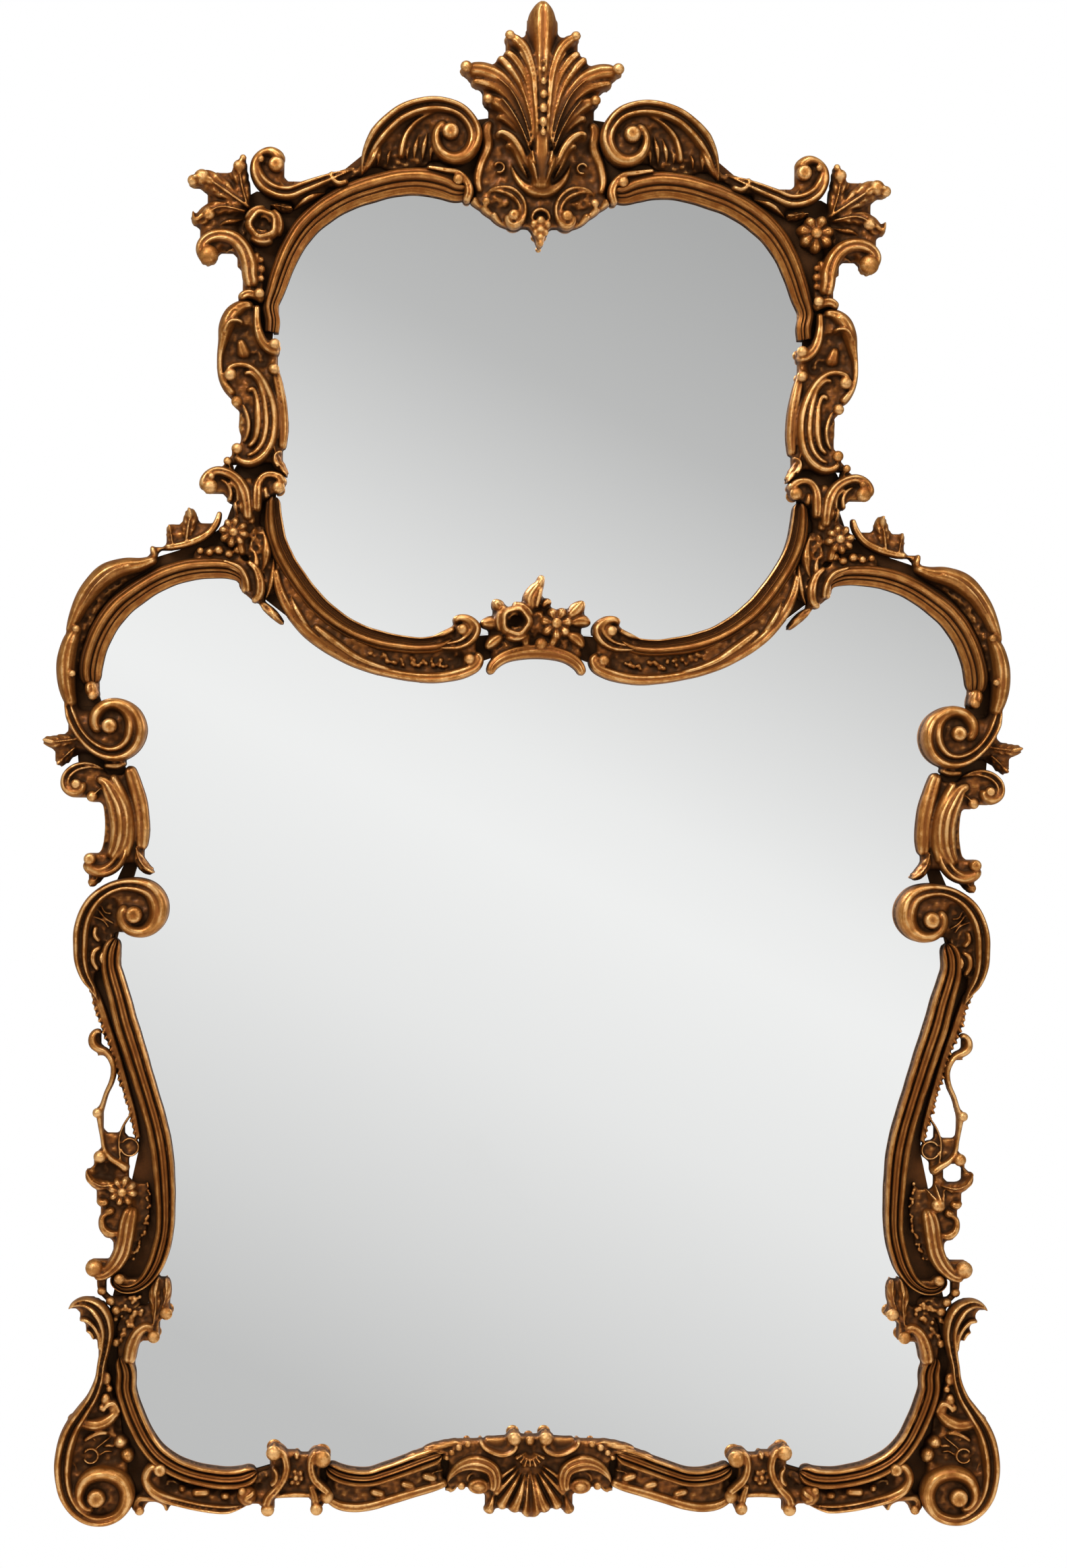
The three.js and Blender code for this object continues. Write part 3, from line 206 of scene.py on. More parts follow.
def emptySet():
    return {"points": [], "quads": [], "triangles": [], "flow": [], "ridge": [], "count": 0}


def grown(field, rounds, choose, outside):
    # the highest or lowest value within so many cells of each cell
    for k in range(rounds):
        padded = np.pad(field, 1, constant_values=outside)
        near = [padded[1 + i : padded.shape[0] - 1 + i, 1 + j : padded.shape[1] - 1 + j]
                for i in (-1, 0, 1) for j in (-1, 0, 1) if k % 2 == 0 or i * j == 0]
        field = choose.reduce(near)
    return field


class Carving:
    # gathers strokes, leaves and knobs into the mesh of one carved piece;
    # side is -1 left of the centre line
    def __init__(self, side=1, seed=1):
        self.side = side
        self.random = np.random.default_rng(seed)
        self.sets = {"crisp": emptySet(), "fused": emptySet()}
        self.strokes = 0

    def addMesh(self, kind, points, quads, triangles, flow, ridge):
        found = self.sets[kind]
        found["points"].append(points)
        found["quads"].append(quads + found["count"])
        found["triangles"].append(triangles + found["count"])
        found["flow"].append(flow)
        found["ridge"].append(ridge)
        found["count"] += len(points)

    def addRings(self, rings, ridge, along, across, kind="fused"):
        # rings: stations x points x (x, forward, z), each ring closed on itself
        stations, points = rings.shape[:2]
        count = stations * points
        self.strokes += 1
        flat = rings.reshape(-1, 3)
        index = np.arange(count).reshape(stations, points)
        nextPoint = np.roll(index, -1, axis=1)
        quads = np.stack([index[:-1], nextPoint[:-1], nextPoint[1:], index[1:]], -1).reshape(-1, 4)
        first, last = len(flat), len(flat) + 1
        flat = np.vstack([flat, rings[0].mean(0), rings[-1].mean(0)])
        start = np.stack([nextPoint[0], index[0], np.full(points, first)], -1)
        finish = np.stack([index[-1], nextPoint[-1], np.full(points, last)], -1)
        triangles = np.vstack([start, finish])
        ridge = np.concatenate([np.broadcast_to(ridge, (stations, points)).ravel(),
                                np.zeros(len(flat) - count)])
        flow = np.zeros((len(flat), 3))
        flow[:count, 0] = np.broadcast_to(along, (stations, points)).ravel()
        flow[:count, 1] = np.broadcast_to(across, (stations, points)).ravel()
        flow[:, 2] = self.strokes * 37.0 + (11.0 if self.side > 0 else 0)
        if self.signedVolume(flat, quads, triangles) < 0:
            quads, triangles = quads[:, ::-1], triangles[:, ::-1]
        self.addMesh(kind, flat, quads, triangles, flow, ridge)

    def signedVolume(self, flat, quads, triangles):
        # (x, forward, z) turns the other way from (x, y, z), so the sign is turned as well
        faces = np.vstack([quads[:, [0, 1, 2]], quads[:, [0, 2, 3]], triangles])
        a, b, c = flat[faces[:, 0]], flat[faces[:, 1]], flat[faces[:, 2]]
        return -np.einsum("ij,ij->i", a, np.cross(b, c)).sum() * self.side

    def stroke(self, rows, profile="bead", relief=30.0, lift=0.0, ends=("round", "round"),
               step=chisel["step"], even=False, flip=False, rough=0.0):
        # one section drawn along a smooth line, or one that turns into another
        path, run = smoothPath(withRise(rows), step)
        pair = profile if isinstance(profile, tuple) else (profile, profile)
        (places, first), second = sections[pair[0]], sections[pair[1]][1]
        if flip:
            first, second = first[::-1], second[::-1]
        turned = smoothStep(0.45, 0.85, run / run[-1])[:, None]
        heights = first[None, :] * (1 - turned) + second[None, :] * turned
        normal = sideways(path)
        width = np.maximum(path[:, 2], 0.4)
        if pair[0] not in chisel["crisp"] and pair[0] != "flat":
            width = width * chisel["plump"]
        tall = relief * path[:, 3] * (1 if even else 0.45 + 0.55 * np.sqrt(width / width.max()))
        for end, gap in ((ends[0], run), (ends[1], run[-1] - run)):
            if end == "flat":
                continue
            reach = chisel["ends"][end] * width
            share = np.clip(gap / np.maximum(reach, 0.1), 0, 1)
            close = np.sqrt(np.clip(1 - (1 - share) ** 2, 0, 1)) if end == "round" else share ** 0.7
            width = width * np.maximum(close, 0.04)
            tall = tall * (0.35 + 0.65 * np.maximum(close, 0.02))
        longWave = 0.012 * np.sin(run / 17.0 + self.random.uniform(0, 6))
        width = width * (1 + longWave + 0.01 * np.sin(run / 6.1 + self.random.uniform(0, 6)))
        across = places[None, :] * width[:, None] / 2
        forward = lift + heights * tall[:, None]
        x = path[:, 0:1] + normal[:, 0:1] * across
        z = path[:, 1:2] + normal[:, 1:2] * across
        if rough:
            forward = forward + rough * lumps(x, z) * heights
        front = np.stack([x, forward, z], -1)
        back = np.stack([x[:, [-1, 0]], np.full((len(x), 2), float(lift)), z[:, [-1, 0]]], -1)
        centre = path[:, None, :2]
        back[:, :, 0] = centre[:, :, 0] + (back[:, :, 0] - centre[:, :, 0]) * chisel["undercut"]
        back[:, :, 2] = centre[:, :, 1] + (back[:, :, 2] - centre[:, :, 1]) * chisel["undercut"]
        relative = sectionRidge(first) * (1 - turned) + sectionRidge(second) * turned
        ridge = np.concatenate([relative, np.full((len(x), 2), -0.5)], 1)
        acrossAll = np.concatenate([across, across[:, [-1, 0]]], 1)
        kind = "crisp" if pair[0] in chisel["crisp"] else "fused"
        self.addRings(np.concatenate([front, back], 1), ridge, run[:, None], acrossAll, kind)

    def blade(self, rows, relief):
        # a small leaf, pointed at both ends
        self.stroke(rows, "lobe", relief, ends=("point", "point"))

    def vein(self, rows, relief):
        # a thin reed, pointed at both ends
        self.stroke(rows, "bead", relief, ends=("point", "point"))

    def web(self, rows, relief=8.0, rough=4.0):
        # the sunk ground between the carved parts
        self.stroke(rows, "flat", relief, even=True, step=2.5, rough=rough)

    def turned(self, x, z, rings, squash=1.0, count=28, frill=None):
        # a form turned about a line towards the viewer: rings are radius and forward distance
        angle = np.linspace(0, 2 * math.pi, count, endpoint=False)
        rows = []
        for radius, forward in rings:
            r = np.full(count, float(radius))
            if frill:
                r = r * (1 + frill[1] * np.cos(frill[0] * angle))
            rows.append(np.stack([x + r * np.cos(angle), np.full(count, float(forward)),
                                  z + r * np.sin(angle) * squash], -1))
        heights = np.array([row[1] for row in rings], float)
        ridge = np.interp(heights, [heights.min(), heights.max()], [-0.6, 0.2])[:, None]
        along = heights[:, None] * np.ones((1, count))
        across = (angle * max(r for r, f in rings))[None, :] * np.ones((len(rings), 1))
        self.addRings(np.stack(rows), ridge, along, across)

    def ball(self, x, z, radius, top=30.0, tall=1.0):
        # a bead or bud on a short neck; tall stretches it upwards
        dome = radius * 0.95
        middle = max(top - dome, 1)
        rings = [(radius * 0.6, 0.0), (radius * 0.62, max(middle - dome * 0.9, 0.5))]
        for k in range(1, 10):
            angle = math.pi * (-0.32 + 0.82 * k / 9)
            rings.append((max(radius * math.cos(angle), 0.05 * radius), middle + dome * math.sin(angle)))
        self.turned(x, z, rings, squash=tall, count=22 if radius < 12 else 34)

    def eye(self, x, z, radius, top=36.0):
        # the domed head in which a volute ends
        rings = [(radius * 0.98, 0), (radius, top * 0.78), (radius * 0.93, top * 0.9),
                 (radius * 0.74, top * 0.975), (radius * 0.45, top), (radius * 0.1, top * 0.985)]
        self.turned(x, z, rings, count=34)

    def frond(self, rows, relief=30.0, lobes=4, lean=0.3, rib=True):
        # an acanthus leaf as a sheaf of pipes: each leaves the stem low down and ends as a lobe of the edge
        path, run = smoothPath(withRise(rows), 1.5)
        normal = sideways(path)
        along = np.column_stack([normal[:, 1], -normal[:, 0]])
        share = run / run[-1]

        def spot(at, out, width, rise):
            x, z, wide, tall = (np.interp(at, share, column) for column in path.T)
            nx, nz = (np.interp(at, share, column) for column in normal.T)
            ax, az = (np.interp(at, share, column) for column in along.T)
            push = lean * abs(out) * wide
            return [x + nx * out * wide + ax * push, z + nz * out * wide + az * push, width * wide,
                    rise * tall]

        body = [spot(at, 0, wide, 0.8) for at, wide in leafShape["body"]]
        self.stroke(body, "bead", relief, ends=("point", "round"), even=True)
        for side in (-1, 1):
            for k in range(max(2, lobes - 1)):
                tip = 0.2 + 0.76 * (k + 1) / (max(2, lobes - 1) + 0.4)
                low = max(0.0, tip - 0.62)
                size = leafShape["lobeWidth"] * self.random.uniform(0.92, 1.08)
                reach = 0.5 - size * 0.16
                tall = 0.84 - 0.06 * (k % 2) + self.random.uniform(-0.03, 0.03)
                lobe = [
                    spot(low, side * 0.05, size * 0.24, tall * 0.8),
                    spot(low + (tip - low) * 0.45, side * 0.17, size * 0.42, tall),
                    spot(low + (tip - low) * 0.8, side * reach * 0.72, size * 0.7, tall),
                    spot(tip + 0.04, side * reach * 1.1, size * 0.6, tall + leafShape["tipRise"]),
                ]
                self.stroke(lobe, "bead", relief, ends=("point", "point"), even=True, step=smallStep)
        top = [spot(at, 0, wide, rise) for at, wide, rise in leafShape["top"]]
        self.stroke(top, "lobe", relief, ends=("point", "round"), even=True, step=smallStep)
        if rib:
            stem = [spot(at, 0, wide, rise) for at, wide, rise in leafShape["rib"]]
            self.stroke(stem, "bead", relief, ends=("round", "point"), even=True, step=smallStep)

    def addGround(self, reach):
        # the block that the strokes are cut from: it fills the gaps between them, lower and uneven
        cell = ground["cell"]
        points = np.vstack(self.sets["fused"]["points"] + self.sets["crisp"]["points"])
        low = points[:, [0, 2]].min(0) - cell * (reach + 2)
        size = tuple(np.ceil((points[:, [0, 2]].max(0) - low) / cell).astype(int) + reach + 3)
        high = np.full(size, -1.0)
        spots = np.round((points[:, [0, 2]] - low) / cell).astype(int)
        np.maximum.at(high, (spots[:, 0], spots[:, 1]), points[:, 1])
        high = grown(high, reach, np.maximum, -1.0)
        high = grown(high, reach, np.minimum, 99.0)
        inside = high > 1
        for _ in range(3):
            padded = np.pad(high, 1, mode="edge")
            high = (high * 2 + padded[:-2, 1:-1] + padded[2:, 1:-1] + padded[1:-1, :-2] + padded[1:-1,
                    2:]) / 6
        x = low[0] + cell * np.arange(size[0])[:, None] + np.zeros(size)
        z = low[1] + cell * np.arange(size[1])[None, :] + np.zeros(size)
        rise = np.maximum(high * ground["share"] + ground["rough"] * lumps(x, z), ground["lowest"])
        core = inside & (grown(np.where(inside, 1.0, 0.0), 1, np.minimum, 0.0) > 0)
        front, back = np.full(size, -1), np.full(size, -1)
        front[core] = np.arange(core.sum())
        back[inside] = core.sum() + np.arange(inside.sum())
        rim = inside & ~core
        front[rim] = back[rim]
        places = np.vstack([np.column_stack([x[core], rise[core], z[core]]),
                            np.column_stack([x[inside], np.zeros(inside.sum()), z[inside]])])
        whole = inside[:-1, :-1] & inside[1:, :-1] & inside[1:, 1:] & inside[:-1, 1:]
        quads = []
        for index, order in ((front, (0, 1, 2, 3)), (back, (3, 2, 1, 0))):
            corners = np.stack([index[:-1, :-1], index[1:, :-1], index[1:, 1:], index[:-1, 1:]], -1)[whole]
            quads.append(corners[:, order])
        flat = np.sort(np.stack(quads), -1)
        doubled = (flat[0] == flat[1]).all(1)
        quads = np.vstack([found[~doubled] for found in quads])
        if self.side < 0:
            quads = quads[:, ::-1]
        flow = np.column_stack([places[:, 0], places[:, 2], np.full(len(places), 5.0)])
        self.addMesh("fused", places, quads, np.zeros((0, 3), int), flow, np.full(len(places), -0.5))

    def finish(self, name, material, voxel=chisel["voxel"], gap=ground["reach"]):
        self.addGround(gap)
        parts = []
        for kind, found in self.sets.items():
            if not found["count"]:
                continue
            points, quads, triangles, flow = (np.vstack(found[key])
                                              for key in ("points", "quads", "triangles", "flow"))
            places = self.metres(self.handWaves(points))
            faces = quads.tolist() + triangles.tolist()
            if kind == "crisp":
                parts.append((places, faces, flow / 1000, np.concatenate(found["ridge"])))
            else:
                parts.append(melted(places, faces, flow / 1000, voxel))
        mesh = joinedMesh(name, parts)
        piece = bpy.data.objects.new(name, mesh)
        bpy.context.scene.collection.objects.link(piece)
        mesh.materials.append(material)
        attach(piece, "root")
        return piece

    def handWaves(self, points):
        # slow waves of the carver's hand
        points = points.copy()
        for k in range(5):
            wave = self.random.normal(0, 1, 3) / (26.0 if k < 3 else 9.0)
            start = self.random.uniform(0, 6.28)
            points[:, 1] += (chisel["wave"] * (0.8 if k < 3 else 0.45) * np.sin(points @ wave + start)
                             * np.clip(points[:, 1] / 12, 0, 1))
        return points

    def metres(self, points):
        return np.column_stack([
            self.side * points[:, 0],
            -(carvingBack + points[:, 1]),
            points[:, 2] - mountHeight,
        ]) / 1000


leafShape = {
    # along the leaf: place, width and, in the last two, rise
    "body": ((0.0, 0.34), (0.3, 0.7), (0.6, 0.84), (0.85, 0.7), (0.97, 0.45)),
    "top": ((0.3, 0.2, 0.8), (0.62, 0.4, 0.94), (0.86, 0.5, 1.0), (1.0, 0.3, 1.08)),
    "rib": ((0.0, 0.26, 0.9), (0.4, 0.16, 1.04), (0.75, 0.09, 1.08)),
    "lobeWidth": 0.66,
    "tipRise": 0.08,
}


def meshArray(items, name, width, kind):
    values = np.empty(len(items) * width, kind)
    items.foreach_get(name, values)
    return values.reshape(-1, width)


def melted(places, faces, flow, voxel):
    # strokes carved from one block: joined into one skin, softened, and measured for ridges and grooves
    mesh = bpy.data.meshes.new("strokes")
    mesh.from_pydata(places.tolist(), [], faces)
    block = bpy.data.objects.new("strokes", mesh)
    bpy.context.scene.collection.objects.link(block)
    remesh = block.modifiers.new("skin", "REMESH")
    remesh.mode = "VOXEL"
    remesh.voxel_size = voxel
    soft = block.modifiers.new("soft", "SMOOTH")
    soft.iterations = chisel["softening"]
    soft.factor = 0.5
    skin = bpy.data.meshes.new_from_object(block.evaluated_get(bpy.context.evaluated_depsgraph_get()))
    bpy.data.objects.remove(block)
    bpy.data.meshes.remove(mesh)
    count = len(skin.vertices)
    found = meshArray(skin.vertices, "co", 3, float)
    normals = meshArray(skin.vertex_normals, "vector", 3, np.float32)
    edges = meshArray(skin.edges, "vertices", 2, np.int32)
    links = np.bincount(edges.ravel(), minlength=count)[:, None]

    def gathered(column):
        # the sum of a value over the neighbours of each point
        return (np.bincount(edges[:, 0], weights=column[edges[:, 1]], minlength=count)
                + np.bincount(edges[:, 1], weights=column[edges[:, 0]], minlength=count))

    def averaged(values):
        return (values + np.column_stack([gathered(column) for column in values.T])) / (links + 1)

    wide = found
    for _ in range(chisel["reach"]):
        wide = averaged(wide)
    ridge = ((found - wide) * normals).sum(1)[:, None]
    for _ in range(2):
        ridge = averaged(ridge)
    ridge = np.clip(ridge[:, 0] * 1000 / chisel["ridge"], -1, chisel["ridgeCap"])
    tree = KDTree(len(places))
    for k, place in enumerate(places.tolist()):
        tree.insert(place, k)
    tree.balance()
    nearest = np.array([tree.find(place)[1] for place in found.tolist()])
    polygons = [tuple(polygon.vertices) for polygon in skin.polygons]
    bpy.data.meshes.remove(skin)
    return found, polygons, flow[nearest], ridge


def joinedMesh(name, parts):
    # the skins of one piece as one mesh, with the two values that its finish reads
    places = np.vstack([part[0] for part in parts])
    faces, start = [], 0
    for part in parts:
        faces += [[corner + start for corner in face] for face in part[1]]
        start += len(part[0])
    mesh = bpy.data.meshes.new(name)
    mesh.from_pydata(places.tolist(), [], faces)
    mesh.polygons.foreach_set("use_smooth", np.ones(len(faces), bool))
    flow = mesh.attributes.new("flow", "FLOAT_VECTOR", "POINT")
    flow.data.foreach_set("vector", np.vstack([part[2] for part in parts]).astype(np.float32).ravel())
    # how far each point stands out from its neighbourhood; the gilding paints highlight on ridges and shade
    # in grooves from it
    ridge = mesh.attributes.new("ridge", "FLOAT", "POINT")
    ridge.data.foreach_set("value", np.concatenate([part[3] for part in parts]).astype(np.float32))
    mesh.update(calc_edges=True)
    return mesh


def paint(red, green, blue):
    # a colour as a paint chart gives it, turned to light
    def light(value):
        value = value / 255
        return value / 12.92 if value <= 0.04045 else ((value + 0.055) / 1.055) ** 2.4
    return (light(red), light(green), light(blue), 1.0)


class Wire:
    # a socket that can stand in a sum
    def __init__(self, board, socket):
        self.board, self.socket = board, socket

    def maths(self, *words, **extra):
        return self.board.maths(*words, **extra)

    def __add__(self, other):
        return self.maths("ADD", self, other)

    def __sub__(self, other):
        return self.maths("SUBTRACT", self, other)

    def __rsub__(self, other):
        return self.maths("SUBTRACT", other, self)

    def __mul__(self, other):
        return self.maths("MULTIPLY", self, other)

    def __truediv__(self, other):
        return self.maths("DIVIDE", self, other)

    def __pow__(self, other):
        return self.maths("POWER", self, other)

    __radd__ = __add__
    __rmul__ = __mul__

    def clamped(self):
        return self.maths("ADD", self, 0.0, clamp=True)


class Board:
    # a node tree and the one way in which nodes are put on it
    def __init__(self, tree):
        self.tree = tree
        tree.nodes.clear()

    def node(self, kind, settings=None, inputs=None, output=0):
        made = self.tree.nodes.new(kind)
        for key, value in (settings or {}).items():
            if key == "stops":
                ramp = made.color_ramp
                while len(ramp.elements) < len(value):
                    ramp.elements.new(1.0)
                for element, (place, colour) in zip(ramp.elements, value):
                    element.position = place
                    element.color = colour
            else:
                setattr(made, key, value)
        for key, value in (inputs or {}).items():
            if isinstance(value, Wire):
                self.tree.links.new(value.socket, made.inputs[key])
            else:
                made.inputs[key].default_value = value
        return Wire(self, made.outputs[output]) if len(made.outputs) else made

    def maths(self, operation, first, second=0.0, clamp=False):
        return self.node("ShaderNodeMath", {"operation": operation, "use_clamp": clamp},
                         {0: first, 1: second})

    def mix(self, factor, first, second, blend="MIX"):
        settings = {"data_type": "RGBA", "blend_type": blend}
        return self.node("ShaderNodeMix", settings, {0: factor, 6: first, 7: second}, output=2)

    def noise(self, vector, scale, detail=4.0, roughness=0.5):
        inputs = {"Vector": vector, "Scale": scale, "Detail": detail, "Roughness": roughness}
        return self.node("ShaderNodeTexNoise", {}, inputs)

    def scaled(self, vector, scale):
        return self.node("ShaderNodeMapping", {"vector_type": "POINT"}, {"Vector": vector, "Scale": scale})

    def between(self, value, low, high):
        # 0 at low, 1 at high, smoothly
        return self.node("ShaderNodeMapRange", {"interpolation_type": "SMOOTHSTEP", "clamp": True},
                         {"Value": value, "From Min": low, "From Max": high})

    def attribute(self, name, output):
        return self.node("ShaderNodeAttribute", {"attribute_name": name}, output=output)

    def place(self):
        return self.node("ShaderNodeTexCoord", {}, output="Object")

    def bump(self, height, strength, distance, under=None):
        inputs = {"Height": height, "Strength": strength, "Distance": distance}
        if under is not None:
            inputs["Normal"] = under
        return self.node("ShaderNodeBump", {}, inputs)

    def surface(self, inputs):
        shader = self.node("ShaderNodeBsdfPrincipled", {}, inputs)
        self.node("ShaderNodeOutputMaterial", {}, {"Surface": shader})


def newFinish(name):
    material = bpy.data.materials.new(name)
    material.use_nodes = True
    return material, Board(material.node_tree)


gilding = {
    # the palest gold: a painted highlight on the most rubbed ridges
    "leaf": paint(228, 188, 132),
    # the rubbed gold, lighter: partly wear, partly a painted highlight
    "bright": paint(178, 122, 60),
    "gold": paint(120, 66, 22),
    "bole": paint(84, 42, 14),
    # the dark of the hollows: painted shade, with grime
    "shadeAndGrime": paint(36, 16, 4),
    "olive": paint(96, 64, 24),
    "tint": (1.0, 0.7, 0.4, 1),  # of the faint shine that the dark hollows and the bole have
    "shelter": 0.030,  # metres over which ambient occlusion paints shade, with grime, into a hollow
    "deep": (-0.050, -0.037),  # from the wall, the depths between which the carving is painted darker: painted shade deep in the relief
    "metal": 0.66,
    "roughness": 0.38,
}


def gildedWood(name, shadeAndGrimeLevel=0.5, brushed=1.0):
    # oil gilding over red bole: bright where it is rubbed, with a painted highlight on ridges and open
    # faces; painted shade with grime in the hollows; brushed along the stroke
    material, board = newFinish(name)
    place = board.place()
    flow = board.attribute("flow", "Vector")
    ridge = board.attribute("ridge", "Fac")
    # ambient occlusion: it paints shade into the hollows and keeps the painted highlight to open faces
    shelter = board.node("ShaderNodeAmbientOcclusion", {"samples": 6}, {"Distance": gilding["shelter"]},
                         output="AO")
    streaks = board.noise(board.scaled(flow, (28.0, 620.0, 1.0)), 1.0, 5.0, 0.62)
    fineStreaks = board.noise(board.scaled(flow, (55.0, 1700.0, 1.0)), 1.0, 3.0, 0.55)
    clouds = board.noise(place, 14.0, 5.0, 0.62)
    specks = board.noise(place, 210.0, 3.0, 0.7)
    patches = board.noise(place, 62.0, 4.0, 0.66)
    # rubbing and random wear, with a painted highlight on the ridges
    ridgeWearAndHighlight = ridge * 0.5 + (streaks - 0.5) * (0.9 * brushed) + (clouds - 0.5) * 0.8 + (patches - 0.5) * 1.2
    # painted highlight also where ambient occlusion finds the surface open
    wearAndHighlight = board.between(ridgeWearAndHighlight + (shelter - 0.76) * 0.9, 0.02, 0.7)
    depth = board.node("ShaderNodeSeparateXYZ", {}, {"Vector": place}, output="Y")
    # painted shade: the deeper the carving lies, the darker it is painted
    sunk = board.between(depth + (specks - 0.5) * 0.006, gilding["deep"][0], gilding["deep"][1])
    shade = shelter + (streaks - 0.5) * 0.16 + (specks - 0.5) * 0.22 + ridge * 0.3
    shade = shade - sunk * 0.26 + (patches - 0.5) * 0.2
    # painted shade, with grime: how far a point lies in a hollow, from ambient occlusion, depth and ridge;
    # shadeAndGrimeLevel widens it
    hollow = board.between(shade, 0.74 + 0.1 * shadeAndGrimeLevel, 0.26 + 0.1 * shadeAndGrimeLevel)
    worn = board.between(clouds * 0.5 + patches * 0.5 + (specks - 0.5) * 0.5 - ridge * 0.1, 0.5, 0.7)
    # painted highlight: the lighter gold where the surface is rubbed and open
    colour = board.mix(wearAndHighlight, gilding["gold"], gilding["bright"])
    # painted highlight of pale gold on the most rubbed ridges
    colour = board.mix(board.between(wearAndHighlight + ridge * 0.3, 0.9, 1.3) * 0.5, colour, gilding["leaf"])
    colour = board.mix(worn * 0.6, colour, gilding["bole"])
    colour = board.mix(board.between(board.noise(place, 5.0, 3.0), 0.5, 0.8) * 0.3, colour,
                       gilding["olive"])
    # painted shade with grime laid into the hollows
    colour = board.mix((hollow * 0.97).clamped(), colour, gilding["shadeAndGrime"])
    rough = gilding["roughness"] + (specks - 0.5) * 0.16 + hollow * 0.3 - wearAndHighlight * 0.07 + worn * 0.1
    metal = (gilding["metal"] * (1 - hollow * 0.85) - worn * 0.2).clamped()
    height = streaks * (0.5 * brushed) + fineStreaks * (0.3 * brushed) + specks * 0.18 + clouds * 0.4
    normal = board.bump(height, 0.5, 0.0011)
    board.surface({"Base Color": colour, "Metallic": metal, "Roughness": rough.clamped(), "Normal": normal,
                   "Specular IOR Level": 0.3, "Specular Tint": gilding["tint"],
                   "Coat Weight": (0.1 - hollow * 0.1).clamped(), "Coat Roughness": 0.25})
    return material


def carcassFinish(name):
    # the pine carcass: dark toned bole on the front and the edges, darker still with painted shade where
    # the carving shelters it, bare sawn wood behind
    material, board = newFinish(name)
    place = board.place()
    depth = board.node("ShaderNodeSeparateXYZ", {}, {"Vector": place}, output="Y")
    painted = board.between(depth, -0.004, -0.011)
    grain = board.noise(board.scaled(place, (26.0, 190.0, 3.5)), 1.0, 6.0, 0.6)
    bands = {"wave_type": "BANDS", "bands_direction": "X"}
    waves = {"Vector": board.scaled(place, (9.0, 9.0, 1.2)), "Scale": 2.2, "Distortion": 5.0, "Detail": 3.0}
    rings = board.node("ShaderNodeTexWave", bands, waves, output="Fac")
    specks = board.noise(place, 150.0, 4.0, 0.7)
    dust = board.noise(place, 9.0, 4.0, 0.6)
    wood = board.mix(board.between(grain * 0.6 + rings * 0.4, 0.3, 0.7), paint(96, 66, 40),
                     paint(148, 112, 72))
    wood = board.mix(board.between(dust, 0.45, 0.75) * 0.5, wood, paint(84, 66, 50))
    # painted shade: ambient occlusion darkens the bole where the carving overhangs it
    shelter = board.node("ShaderNodeAmbientOcclusion", {"samples": 6}, {"Distance": 0.035}, output="AO")
    ground = board.mix(board.between(shelter + (specks - 0.5) * 0.3, 0.25, 0.95), paint(30, 13, 4),
                       paint(92, 50, 18))
    colour = board.mix(painted, wood, ground)
    rough = (0.78 - painted * 0.18 + (specks - 0.5) * 0.15).clamped()
    normal = board.bump(grain * (1 - painted) + specks * 0.5, 0.6, 0.0012)
    board.surface({"Base Color": colour, "Metallic": (painted * 0.2).clamped(), "Roughness": rough,
                   "Normal": normal, "Specular IOR Level": 0.25, "Specular Tint": gilding["tint"]})
    return material


def boardFinish(name):
    # thin backboards, dusty and brown with age
    material, board = newFinish(name)
    place = board.place()
    grain = board.noise(board.scaled(place, (120.0, 40.0, 4.0)), 1.0, 6.0, 0.62)
    boards = {"wave_type": "BANDS", "bands_direction": "X", "wave_profile": "SAW"}
    seams = board.node("ShaderNodeTexWave", boards, {"Vector": place, "Scale": 1.4, "Distortion": 0.0},
                       output="Fac")
    seam = board.between(seams, 0.985, 1.0)
    stain = board.noise(place, 3.0, 5.0, 0.6)
    colour = board.mix(board.between(grain, 0.35, 0.68), paint(92, 66, 44), paint(134, 102, 70))
    colour = board.mix(board.between(stain, 0.45, 0.7) * 0.6, colour, paint(78, 60, 44))
    colour = board.mix(seam, colour, paint(30, 22, 16))
    normal = board.bump(grain * 0.6 - seam, 0.6, 0.001)
    board.surface({"Base Color": colour, "Roughness": (0.7 + grain * 0.2).clamped(), "Normal": normal})
    return material


def plateFinish(name):
    # silvered glass, with the faint grey bloom of an old plate in clouds over it
    material, board = newFinish(name)
    place = board.place()
    bloom = board.between(board.noise(place, 6.0, 5.0, 0.6), 0.62, 0.95)
    colour = board.mix(bloom * 0.06, paint(250, 251, 251), paint(196, 196, 190))
    shine = (0.012 + bloom * 0.03).clamped()
    board.surface({"Base Color": colour, "Metallic": 1.0, "Roughness": shine})
    return material


def metalFinish(name, dark, light, roughness, metal=0.9):
    # small ironmongery: tarnish in clouds, scuffs on top
    material, board = newFinish(name)
    place = board.place()
    tarnish = board.between(board.noise(place, 260.0, 5.0, 0.65), 0.35, 0.7)
    scuffs = board.noise(board.scaled(place, (900.0, 900.0, 120.0)), 1.0, 3.0, 0.6)
    colour = board.mix(tarnish, light, dark)
    rough = (roughness + tarnish * 0.2 + (scuffs - 0.5) * 0.12).clamped()
    normal = board.bump(scuffs + tarnish, 0.4, 0.0003)
    board.surface({"Base Color": colour, "Metallic": metal, "Roughness": rough, "Normal": normal})
    return material


